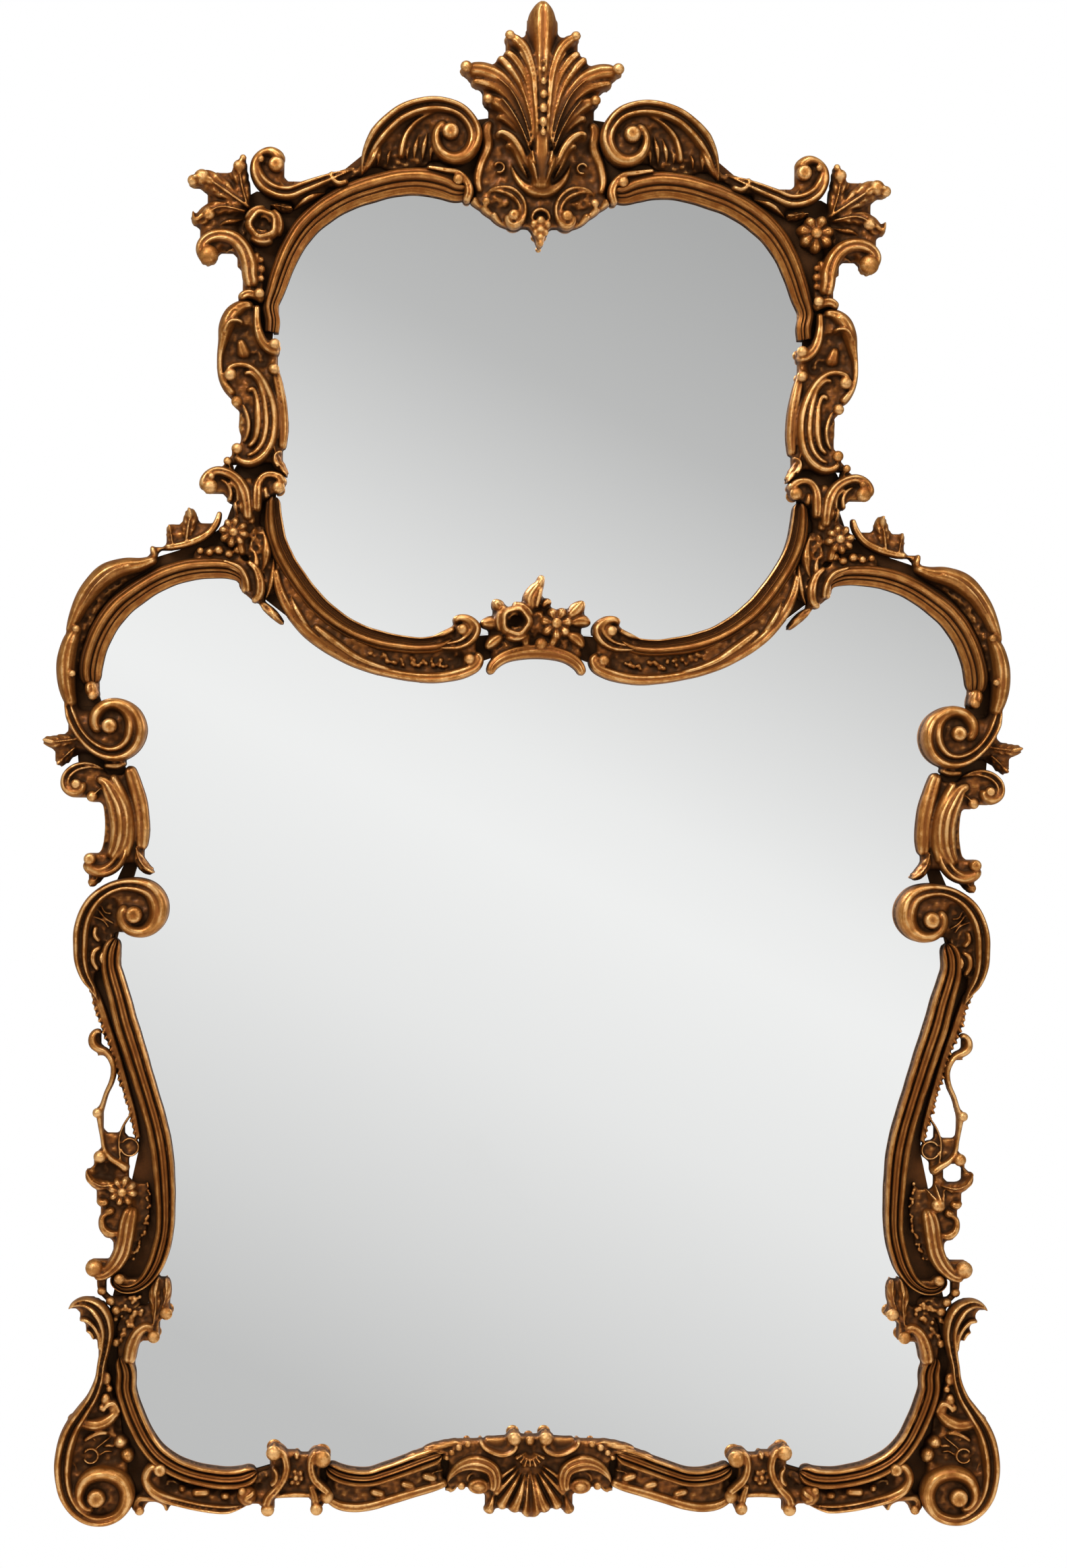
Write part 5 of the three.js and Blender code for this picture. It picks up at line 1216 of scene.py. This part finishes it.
def middleMoulding(c):
    c.stroke([[370, 1436, 20], [369, 1402, 26], [363, 1372, 27], [352, 1347, 28], [335, 1320, 29],
              [312, 1290, 30], [285, 1266, 30], [253, 1247, 29], [220, 1236, 28], [190, 1231, 26],
              [163, 1229, 25], [138, 1232, 25], [117, 1241, 20]], "beadedMoulding", relief["moulding"],
             even=True)
    # leaf band under the moulding, which ends in a ball
    c.stroke([[366, 1335, 8], [361, 1310, 12], [352, 1288, 14], [338, 1266, 14], [318, 1245, 15],
              [295, 1228, 15], [265, 1211, 14], [235, 1199, 13], [205, 1191, 12], [175, 1186, 12],
              [145, 1184.5, 13], [118, 1188, 14], [98, 1194, 15], [84, 1202, 14], [80, 1212, 12],
              [88, 1219, 10]], "twoReeds", 29)
    c.ball(94, 1211, 8, 32)
    c.stroke([[312, 1256, 8], [296, 1243, 12], [276, 1228, 12], [252, 1212, 10], [226, 1201, 8],
              [196, 1194, 5]], "lobe", 35, ends=("round", "point"))
    c.blade([[345, 1300, 6], [338, 1282, 9], [326, 1262, 9], [312, 1248, 6]], 34)
    c.web([[350, 1304, 26], [330, 1272, 24], [300, 1248, 24], [262, 1228, 24], [220, 1212, 22],
           [180, 1204, 24], [140, 1203, 26], [104, 1216, 30], [96, 1240, 24]], relief["ground"])
    berries(c, [[255, 1226], [220, 1214], [180, 1206], [125, 1205]], 40, 3.2, 16)
    scroll(c, [[150, 1228, 8], [128, 1229, 12], [108, 1232, 15], [94, 1241, 17], [88, 1254, 17],
               [96, 1264, 13], [108, 1267, 9], [117, 1262, 7]], None, relief["scroll"], turn=-1)
    c.stroke([[150, 1240, 5], [130, 1246, 8], [114, 1254, 8]], "bead", 32, ends=("point", "round"))
    c.ball(104, 1252, 8, 36)


def shoulderMoulding(c):
    c.stroke([[405, 1302, 12], [411, 1322, 18], [428, 1333, 27], [460, 1335, 30], [495, 1330, 31],
              [527, 1318, 32], [556, 1300, 33], [582, 1279, 34], [602, 1252, 34], [616, 1220, 34],
              [622, 1190, 33], [620, 1168, 28]], "moulding", relief["moulding"], even=True)
    for inset, top in ((0, 31), (7, 27)):
        c.stroke([[440 - inset, 1345 - inset, 6], [415 - inset * 0.3, 1335 - inset, 8],
                  [405 + inset * 0.5, 1318, 9], [402 + inset, 1300, 7]], "bead", top)
    c.stroke([[621, 1176, 14], [619, 1162, 17], [612, 1150, 12]], "twoReeds", 32)
    c.ball(617, 1155, 7, 34)
    c.web([[390, 1296, 20], [414, 1318, 18]], relief["ground"])
    c.web([[412, 1350, 22], [446, 1356, 22], [480, 1352, 16]], 12, 6)
    for x, z, radius in ((430, 1354, 6), (444, 1359, 6.5), (457, 1356, 5.5), (470, 1358, 5),
                         (418, 1360, 6)):
        c.ball(x, z, radius, 24)
    c.stroke([[405, 1345, 6], [392, 1332, 10], [386, 1312, 13], [388, 1296, 11], [398, 1288, 6]],
             "twoReeds", 30)
    c.frond([[390, 1290, 10], [381, 1283, 14], [368, 1272, 14], [353, 1257, 6]], 20, lobes=4, lean=0.5,
            rib=False)


def shoulderVolute(c):
    # two long leaves over the shoulder
    c.web([[540, 1340, 14], [590, 1318, 30], [624, 1280, 34], [644, 1230, 30], [650, 1180, 24]],
          relief["ground"] + 4)
    c.stroke([[530, 1346, 10], [552, 1338, 18], [575, 1334, 24], [598, 1325, 28], [618, 1307, 26],
              [634, 1283, 22], [645, 1258, 16], [652, 1240, 9]], "lobe", 39)
    c.vein([[560, 1338, 3], [590, 1328, 4], [615, 1306, 4], [635, 1275, 3]], 41)
    c.stroke([[636, 1252, 8], [646, 1236, 20], [653, 1212, 24], [655, 1186, 24], [652, 1160, 20],
              [645, 1138, 14]], "lobe", 38)
    c.ball(640, 1247, 5.5, 38)
    c.ball(645, 1185, 5, 40)
    c.vein([[600, 1310, 4], [622, 1290, 6], [640, 1256, 4]], 30)
    c.stroke([[520, 1362, 8], [500, 1365, 9], [480, 1371, 10], [460, 1382, 9], [448, 1397, 9],
              [443, 1414, 6]], "twoReeds", 26)
    c.frond([[490, 1368, 22], [487, 1390, 28], [484, 1405, 22], [487, 1419, 8]], 27, lobes=4)
    c.frond([[508, 1362, 14], [510, 1378, 18], [514, 1395, 8]], 25, lobes=3)
    c.stroke([[533, 1345, 8], [535, 1356, 9], [538, 1365, 5]], "lobe", 24)
    # the volute at the shoulder's foot
    scroll(c, [[655, 1165, 18], [650, 1138, 16], [641, 1114, 15], [628, 1095, 15], [611, 1081, 17],
               [593, 1075, 19], [576, 1078, 22], [563, 1090, 25], [558, 1108, 26], [562, 1126, 22],
               [573, 1138, 17], [588, 1143, 14], [602, 1139, 14], [611, 1128, 15], [612, 1115, 14],
               [604, 1104, 12]], (593, 1113, 11), relief["volute"], turn=-1)
    c.web([[628, 1098, 24], [650, 1082, 30], [662, 1074, 18]], relief["ground"])
    c.frond([[636, 1095, 16], [655, 1092, 24], [672, 1090, 20], [687, 1094, 9]], 27, lobes=4, lean=0.4)
    c.frond([[640, 1084, 14], [655, 1070, 22], [667, 1058, 10]], 24, lobes=3, lean=0.4)
    c.stroke([[570, 1062, 6], [584, 1058, 10], [602, 1058, 7]], "lobe", 24)


def sideScroll(c):
    c.web([[604, 1036, 20], [590, 1000, 24], [590, 950, 24], [606, 916, 18]], relief["ground"])
    scroll(c, [[600, 1052, 12], [620, 1058, 10], [640, 1054, 12], [652, 1042, 13], [652, 1028, 13],
               [641, 1021, 12], [631, 1026, 9], [631, 1036, 7]], (639, 1032, 7), 35, turn=-1)
    c.ball(617, 1015, 8, 26)
    c.stroke([[612, 1040, 8], [600, 1035, 14], [590, 1020, 22], [581, 1000, 27], [577, 978, 28],
              [578, 958, 26], [583, 940, 22], [592, 926, 18]], "threeReeds", relief["scroll"])
    c.stroke([[590, 1046, 10], [576, 1016, 16], [567, 986, 17], [565, 956, 15], [569, 930, 9]], "bead", 29,
             even=True)
    c.stroke([[567, 1058, 14], [560, 1035, 18], [553, 1010, 20], [549, 985, 20], [548, 960, 19],
              [549, 940, 14]], "twoReeds", 21)
    scroll(c, [[572, 975, 14], [572, 950, 16], [578, 930, 17], [590, 916, 16], [605, 911, 15],
               [618, 916, 14], [622, 927, 13]], (619, 928, 8.5), 35)
    c.frond([[556, 946, 10], [551, 928, 18], [542, 915, 16], [530, 909, 7]], 26, lobes=3, lean=0.5)
    c.frond([[596, 912, 12], [608, 902, 16], [620, 889, 7]], 24, lobes=3)
    c.ball(615, 896, 7, 24)
    c.frond([[600, 1030, 12], [612, 1020, 15], [622, 1010, 7]], 24, lobes=3)


def sideVolute(c):
    c.web([[612, 792, 26], [604, 820, 36], [602, 850, 34]], relief["ground"])
    scroll(c, [[606, 730, 6], [614, 748, 10], [624, 765, 14], [630, 785, 17], [631, 808, 19],
               [630, 830, 19], [624, 852, 18], [612, 871, 17], [594, 885, 15], [573, 892, 15],
               [551, 891, 18], [534, 883, 21], [525, 867, 23], [525, 850, 22], [533, 836, 18],
               [546, 829, 15], [561, 831, 14], [571, 841, 13], [572, 854, 13], [564, 862, 12]],
           (557, 851, 12), relief["volute"])
    # leaves and twigs in the recess
    for rows in ([[606, 772, 7], [614, 786, 10], [612, 800, 10], [602, 806, 6]],
                 [[596, 778, 6], [602, 790, 9], [598, 801, 6]],
                 [[604, 812, 6], [612, 822, 8], [610, 836, 6]]):
        c.stroke(rows, "lobe", 27)
    for rows in ([[585, 838, 3], [598, 846, 3.5], [608, 858, 3]],
                 [[592, 832, 3], [600, 842, 3.5], [614, 848, 3]],
                 [[588, 852, 3], [598, 854, 3.5], [604, 864, 3]]):
        c.stroke(rows, "bead", 17, step=smallStep)
    # the outer crust: overlapping leaf tips
    path, run = smoothPath([[617, 752], [610, 730], [603, 705], [593, 682], [584, 655], [576, 630],
                            [567, 600], [558, 570], [551, 538]], 2)
    for k in range(26):
        at = run[-1] * (k + 0.5) / 26
        x, z = np.interp(at, run, path[:, 0]), np.interp(at, run, path[:, 1])
        out = c.random.uniform(-1.5, 1.5)
        wide = 11 - 3 * k / 26
        c.stroke([[x - 3 + out, z + 5, wide * 0.6], [x + out, z - 1, wide],
                  [x + 2.5 + out, z - 7, wide * 0.5]], "lobe", c.random.uniform(19, 25),
                 ends=("point", "round"), even=True, step=smallStep)
    c.stroke([[612, 748, 10], [603, 722, 12], [592, 690, 12], [580, 655, 11], [568, 615, 10], [556, 572, 9],
              [549, 538, 8]], "flat", 13, even=True)


def sideMoulding(c):
    c.stroke([[582, 818, 18], [589, 800, 27], [590, 780, 28], [587, 765, 30], [578, 735, 32],
              [569, 700, 34], [556, 660, 33], [545, 625, 32], [534, 590, 31], [524, 555, 31],
              [517, 520, 32], [513, 480, 30], [511, 440, 27], [512, 410, 26], [517, 385, 26],
              [525, 362, 24], [538, 342, 19], [555, 331, 15], [571, 331, 13], [581, 340, 12],
              [579, 351, 9]], "sideMoulding", relief["moulding"])
    c.ball(573, 345, 7.5, 34)


sideVine = {
    "stem": [[601, 686, 5], [607, 688, 7], [613, 682, 10], [613, 671, 12], [606, 664, 11], [596, 660, 9],
             [588, 650, 9], [584, 636, 8], [587, 618, 7], [594, 602, 6.5], [599, 586, 7], [603, 574, 9],
             [602, 558, 7], [599, 540, 6], [596, 524, 7], [588, 512, 9], [574, 503, 11], [562, 494, 13]],
    "branch": [[556, 446, 18], [562, 425, 22], [566, 400, 22], [571, 380, 22], [582, 362, 20],
               [596, 351, 16], [610, 349, 14]],
    "tendril": [[560, 572, 3], [567, 562, 3.2], [573, 550, 3.2], [576, 536, 3.2], [574, 512, 3.2],
                [570, 500, 3]],
}


def sideFlower(c):
    c.stroke(sideVine["stem"], "bead", relief["vine"] + 4, lift=2)
    c.ball(606, 575, 7, 26)
    c.ball(602, 514, 9, 28)
    c.stroke([[592, 656, 5], [600, 657, 5], [608, 653, 3]], "bead", 20, ends=("round", "point"))
    c.stroke(sideVine["tendril"], "bead", 16, step=smallStep)
    c.stroke([[561 + 12 * math.cos(a), 527 + 12 * math.sin(a), 3.2] for a in np.linspace(0.4, 6.2, 12)],
             "bead", 17, step=smallStep)
    if c.side < 0:
        daisy(c, 570, 466, 22, 8, relief["flower"])
    else:
        # a half-open bud with its leaves
        for tilt, reach in ((-26, 1.0), (26, 1.0), (0, 1.1)):
            angle = math.radians(102 + tilt)
            middle = [572 + 14 * reach * math.cos(angle), 448 + 14 * reach * math.sin(angle), 17, 1.0]
            tip = [572 + 32 * reach * math.cos(angle * 0.96), 448 + 32 * reach * math.sin(angle), 9, 0.85]
            c.stroke([[572, 448, 12, 0.9], middle, tip], "cup", relief["flower"],
                     ends=("round", "point"), even=True, step=1.4)
        c.ball(571, 450, 10, 34)
    c.frond([[575, 478, 12], [592, 474, 20], [606, 476, 17], [616, 484, 11], [620, 497, 5]], 29, lobes=4,
            lean=0.5)
    c.stroke([[588, 455, 10], [597, 450, 13], [606, 456, 8]], "lobe", 27)
    c.stroke([[580, 444, 10], [588, 438, 13], [596, 440, 8]], "lobe", 28)
    c.stroke(sideVine["branch"], "threeReeds", relief["scroll"])
    c.ball(608, 360, 12.5, 37)
    c.stroke([[570, 410, 8], [585, 407, 13], [596, 415, 12], [597, 430, 9], [588, 437, 6]], "lobe", 31)
    c.stroke([[580, 404, 6], [590, 402, 7], [597, 403, 4]], "lobe", 27, ends=("round", "point"))
    for x, z in ((598, 327), (586, 313), (578, 300)):
        c.ball(x, z, 6.5, 22)
    berries(c, [[536, 480], [535, 440], [540, 410], [548, 385], [556, 370]], 24, 2.6, 15, 3)
    c.stroke([[602, 346, 8], [599, 327, 9], [587, 313, 9], [578, 294, 8]], "flat", 12, even=True)
    c.web([[545, 314, 22], [578, 300, 40]], relief["ground"])
    berries(c, [[548, 316], [566, 300], [580, 288]], 14, 3.4, 15, 7)


cornerBand = [
    [645, 300, 6], [637, 308, 12], [622, 312, 17], [606, 306, 20], [595, 292, 20], [590, 272, 17],
    [592, 250, 14], [597, 226, 11], [600, 204, 12], [609, 180, 14], [622, 160, 17], [636, 138, 20],
    [645, 114, 21], [649, 88, 21], [648, 64, 20], [642, 42, 19], [630, 24, 17], [612, 12, 15],
    [592, 10, 14], [574, 17, 14], [563, 32, 16], [561, 50, 18], [570, 66, 18], [586, 73, 17],
    [603, 73, 17], [617, 65, 16], [624, 52, 14], [624, 38, 12], [616, 28, 10], [604, 27, 9],
]


def cornerVolute(c):
    c.web([[594, 222, 8], [589, 190, 16], [583, 160, 24], [588, 122, 44], [597, 88, 60]], relief["ground"])
    c.web([[564, 122, 14], [566, 96, 14], [592, 82, 30]], relief["ground"])
    c.web([[632, 110, 30], [630, 80, 40], [632, 50, 30]], relief["ground"])
    scroll(c, cornerBand, (602, 42, 13), relief["volute"], turn=-1)
    c.stroke([[629, 288, 5], [618, 288, 8], [608, 280, 9], [600, 265, 9], [598, 245, 8]], "bead", 38)
    c.stroke([[620, 274, 4], [612, 271, 7], [606, 260, 6]], "bead", 36)
    # leaf folded over the top of the recess
    c.stroke([[644, 150, 10], [626, 146, 17], [606, 142, 19], [590, 147, 19], [578, 156, 13],
              [570, 160, 6]], "lobe", 31)
    c.stroke([[622, 118, 6], [610, 126, 8], [596, 131, 9], [586, 129, 5]], "lobe", 25)
    c.stroke([[596, 158, 7], [590, 168, 9], [580, 172, 9], [570, 158, 5]], "lobe", 29)
    c.stroke([[611 + 10 * math.cos(a), 98 + 10 * math.sin(a), 4.2] for a in np.linspace(0.3, 6.0, 12)],
             "bead", 22, step=smallStep)
    for rows in ([[600, 98, 3], [590, 104, 3.2], [580, 103, 3]],
                 [[604, 108, 3], [594, 116, 3.2], [584, 124, 3]],
                 [[618, 120, 3], [612, 124, 3.2], [604, 118, 3]],
                 [[594, 110, 3], [586, 112, 6], [578, 110, 4]],
                 [[640, 96, 3], [632, 82, 3.2], [630, 66, 3]],
                 [[641, 78, 3], [636, 62, 3.2], [636, 46, 3]]):
        c.stroke(rows, "bead", 17, step=smallStep)
    c.stroke([[571, 128, 10], [570, 118, 20], [566, 108, 17]], "bead", 31)
    c.stroke([[564, 110, 16], [560, 98, 18], [556, 88, 10]], "bead", 30)
    for x, z, radius, tall in ((591, 177, 7, 1.3), (580, 165, 7, 1.4), (590, 206, 6.5, 1.4),
                               (586, 192, 5, 1.0), (596, 166, 5, 1.0)):
        c.ball(x, z, radius, 27, tall=tall)


def cornerMoulding(c):
    c.stroke([[571, 236, 20], [564, 214, 28], [564, 190, 29], [558, 168, 29], [548, 143, 29],
              [535, 118, 28], [518, 97, 28], [498, 83, 28], [475, 73, 28], [450, 67, 28], [425, 64, 28],
              [400, 66, 28], [380, 75, 24]], "sideMoulding", relief["moulding"], even=True)
    c.stroke([[560, 225, 16], [556, 250, 17], [548, 268, 15], [536, 277, 13], [524, 274, 11]], "twoReeds",
             33)
    c.ball(525, 265, 9, 36)
    c.ball(508, 297, 9, 34)
    c.frond([[526, 280, 12], [522, 300, 20], [524, 324, 20], [519, 347, 8]], 27, lobes=5, lean=0.5)
    c.frond([[518, 296, 10], [511, 312, 16], [508, 330, 14], [509, 346, 6]], 24, lobes=4, lean=0.5)
    c.ball(578, 255, 6, 22)
    c.web([[530, 300, 20], [556, 286, 30], [574, 262, 16]], relief["ground"])
    berries(c, [[540, 300], [556, 288], [570, 262]], 14, 4, 15, 7)


def bottomClasp(c):
    # the clasp's left and right straps, each between a ball above and a foot below
    c.ball(357, 103, 11, 37)
    c.stroke([[352, 109, 7], [343, 99, 10], [339, 83, 11], [343, 67, 11], [353, 52, 11], [364, 40, 12],
              [368, 26, 15]], "twoReeds", 35)
    c.stroke([[359, 84, 6], [353, 75, 8], [354, 64, 8], [362, 56, 6]], "bead", 33)
    c.ball(365, 24, 9.5, 33)
    c.ball(290, 95, 12.5, 38)
    c.stroke([[296, 106, 6], [304, 96, 10], [305, 80, 11], [300, 66, 11], [288, 54, 11], [278, 46, 9]],
             "twoReeds", 35)
    c.stroke([[306, 60, 8], [300, 44, 11], [297, 30, 12]], "twoReeds", 31)
    c.ball(297, 25, 9, 33)
    c.ball(283, 42, 10, 31)
    c.web([[325, 46, 20], [325, 98, 48]], 14)
    c.stroke([[358, 42, 8], [326, 44, 9], [300, 43, 8]], "bead", 24, even=True)
    daisy(c, 326, 68, 14, 6, 26)
    c.stroke([[325, 92, 8], [325, 99, 9], [325, 104, 6]], "bead", 27, even=True)
    # the lower band, which starts in a curl under the moulding
    c.web([[350, 60, 44], [400, 48, 30]], relief["ground"])
    c.web([[508, 62, 14], [486, 50, 20], [455, 44, 21], [420, 43, 20], [396, 46, 16]], relief["ground"])
    scroll(c, [[390, 30, 9], [420, 24, 12], [450, 26, 12], [484, 33, 12], [510, 41, 13], [527, 52, 13],
               [534, 67, 12], [527, 81, 11], [516, 82, 12]], (515, 79, 9), 30)
    for x, z, wide, high in ((484, 52, 12, 11), (458, 47, 28, 13), (424, 42, 16, 11)):
        c.stroke([[x - wide / 2, z + 1, high], [x, z, high * 1.1], [x + wide / 2, z - 1, high]], "bead", 23,
                 even=True)
    c.ball(394, 43, 14, 32)
    c.stroke([[382, 52, 6], [388, 46, 10], [396, 40, 9], [384, 34, 6]], "lobe", 36)
    c.ball(400, 50, 6, 34)
    c.stroke([[541, 22, 12], [548, 26, 12], [546, 36, 11], [532, 38, 9], [518, 36, 8], [508, 30, 7],
              [505, 19, 4]], "lobe", 20)
    c.ball(543, 22, 7, 24)


def apron(c):
    c.stroke([[284, 82, 18], [268, 72, 23], [245, 66, 24], [222, 66, 24], [198, 73, 25], [172, 82, 26],
              [148, 91, 27], [122, 100, 24]], "sideMoulding", relief["moulding"], even=True)
    c.stroke([[286, 42, 9], [268, 30, 12], [245, 26, 13], [220, 29, 13], [190, 38, 13], [160, 47, 13],
              [132, 55, 12], [114, 61, 9]], "twoReeds", 27)
    c.web([[284, 58, 18], [262, 50, 24], [235, 44, 24], [205, 50, 24], [172, 60, 24], [140, 71, 22]],
          relief["ground"])
    for x, z in ((212, 46), (170, 57), (140, 68)):
        c.stroke([[x - 12, z - 4, 12], [x, z, 15], [x + 12, z + 4, 11]], "bead", 23, even=True)
    c.frond([[120, 78, 10], [132, 76, 15], [144, 72, 8]], 20, lobes=3)


sidePieces = {
    "head_moulding": headMoulding,
    "shoulder_moulding": shoulderMoulding,
    "side_moulding": sideMoulding,
    "corner_moulding": cornerMoulding,
    "crest_scroll": crestScroll,
    "corner_leaves": cornerLeaves,
    "waist_scroll": waistScroll,
    "middle_moulding": middleMoulding,
    "upper_side_scroll": upperSideScroll,
    "shoulder_volute": shoulderVolute,
    "side_volute": sideVolute,
    "side_scroll": sideScroll,
    "side_flower": sideFlower,
    "corner_volute": cornerVolute,
    "bottom_clasp": bottomClasp,
    "apron": apron,
}

for seed, (pieceName, carve) in enumerate(sidePieces.items()):
    for side, word in ((-1, "left"), (1, "right")):
        carving = Carving(side, 100 + 2 * seed + (side > 0))
        carve(carving)
        brushed = "moulding" in pieceName or pieceName == "apron"
        made = carving.finish(pieceName + "_carved_" + word, mouldingFinish if brushed else goldFinish)
        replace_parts(made, pieceName + "_" + word)
buildCrestLeaf()
buildMiddleFlowers()
buildShell()
corner = Carving(-1, 31)
rose(corner, 387, 1812, 29, 42)
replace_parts(corner.finish("corner_rose_carved", goldFinish), "corner_rose_left")
corner = Carving(1, 32)
daisy(corner, 387, 1812, 27, 7, 40)
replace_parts(corner.finish("corner_daisy_carved", goldFinish), "corner_daisy_right")
for node in ("crest_leaf", "middle_flowers", "shell"):
    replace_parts(bpy.data.objects[node + "_carved"], node)
print("stage: carving made")


for name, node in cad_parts.items():
    if name.endswith("_plate"):
        finish = silverFinish
    elif name.endswith("_backboard"):
        finish = backboardFinish
    elif name.startswith("hanger_strap"):
        finish = ironFinish
    elif name.startswith("hanger_"):
        finish = brassFinish
    else:
        finish = pineFinish
    for spot in node.material_slots:
        spot.material = finish
print("stage: nodes dressed")


studio = {
    "ambient": 0.75,  # brightness met by all rays but reflected ones and those of the camera
    # brightness met by a reflected ray, by how far it climbs: its slope up, plus a share of its slope
    # to the right
    "stops": ((-0.5, 0.34), (-0.16, 0.55), (-0.11, 0.685), (-0.05, 0.825), (0.005, 0.9), (0.03, 0.865),
              (0.07, 0.735), (0.13, 0.515), (0.19, 0.42), (0.6, 0.3)),
    "sideways": 0.49,
    "blue": 0.995,  # as a share of red and green
}


def makeWorld():
    world = bpy.data.worlds.new("studio")
    bpy.context.scene.world = world
    world.use_nodes = True
    board = Board(world.node_tree)
    direction = board.node("ShaderNodeTexCoord", {}, output="Generated")
    split = board.node("ShaderNodeSeparateXYZ", {}, {"Vector": direction}).socket.node
    x, y, z = (Wire(board, split.outputs[k]) for k in range(3))
    forward = board.maths("MAXIMUM", y * -1, 0.05)
    climb = z / forward + x / forward * studio["sideways"]
    low, high = studio["stops"][0][0], studio["stops"][-1][0]
    span = {"Value": climb, "From Min": low, "From Max": high}
    place = board.node("ShaderNodeMapRange", {"clamp": True}, span)
    stops = [((slope - low) / (high - low), (value, value, value * studio["blue"], 1))
             for slope, value in studio["stops"]]
    mirrored = board.node("ShaderNodeValToRGB", {"stops": stops}, {"Fac": place}, output="Color")
    ray = board.node("ShaderNodeLightPath", {}, output="Is Camera Ray")
    glossy = board.node("ShaderNodeLightPath", {}, output="Is Glossy Ray")
    ambient = studio["ambient"]
    shade = board.mix(glossy, (ambient, ambient, ambient, 1), mirrored)
    shade = board.mix(ray, shade, (1, 1, 1, 1))  # the camera sees white behind the mirror
    background = board.node("ShaderNodeBackground", {}, {"Color": shade, "Strength": 1.0})
    board.node("ShaderNodeOutputWorld", {}, {"Surface": background})


lamps = {
    "key": {"at": (-2.2, -3.6, 1.9), "size": (1.6, 1.6), "power": 180},
    "fill": {"at": (2.6, -3.2, 0.4), "size": (2.0, 2.4), "power": 60},
    "top": {"at": (0.0, -1.2, 2.4), "size": (2.4, 0.8), "power": 60},
}


def makeLamps():
    for name, lamp in lamps.items():
        data = bpy.data.lights.new(name, "AREA")
        data.shape = "RECTANGLE"
        data.size, data.size_y = lamp["size"]
        data.energy = lamp["power"]
        light = bpy.data.objects.new(name, data)
        light.location = lamp["at"]
        light.rotation_mode = "QUATERNION"
        light.rotation_quaternion = (Vector((0, 0, -0.8)) - Vector(lamp["at"])).to_track_quat("-Z", "Y")
        light.visible_glossy = True
        bpy.context.scene.collection.objects.link(light)


def makeFloor():
    material, board = newFinish("pale_floor")
    place = board.place()
    cloud = board.noise(place, 1.5, 4.0, 0.5)
    board.surface({"Base Color": board.mix(cloud, paint(246, 246, 245), paint(238, 238, 237)),
                   "Roughness": 0.7})
    mesh = bpy.data.meshes.new("floor")
    low = -2.25
    mesh.from_pydata([(-3, -1.9, low), (3, -1.9, low), (3, 1.0, low), (-3, 1.0, low)], [], [(0, 1, 2, 3)])
    mesh.materials.append(material)
    floor = bpy.data.objects.new("floor", mesh)
    bpy.context.scene.collection.objects.link(floor)


makeWorld()
makeLamps()
makeFloor()
makeCamera()
bpy.context.scene.view_settings.view_transform = "Standard"
print("stage: scene ready")
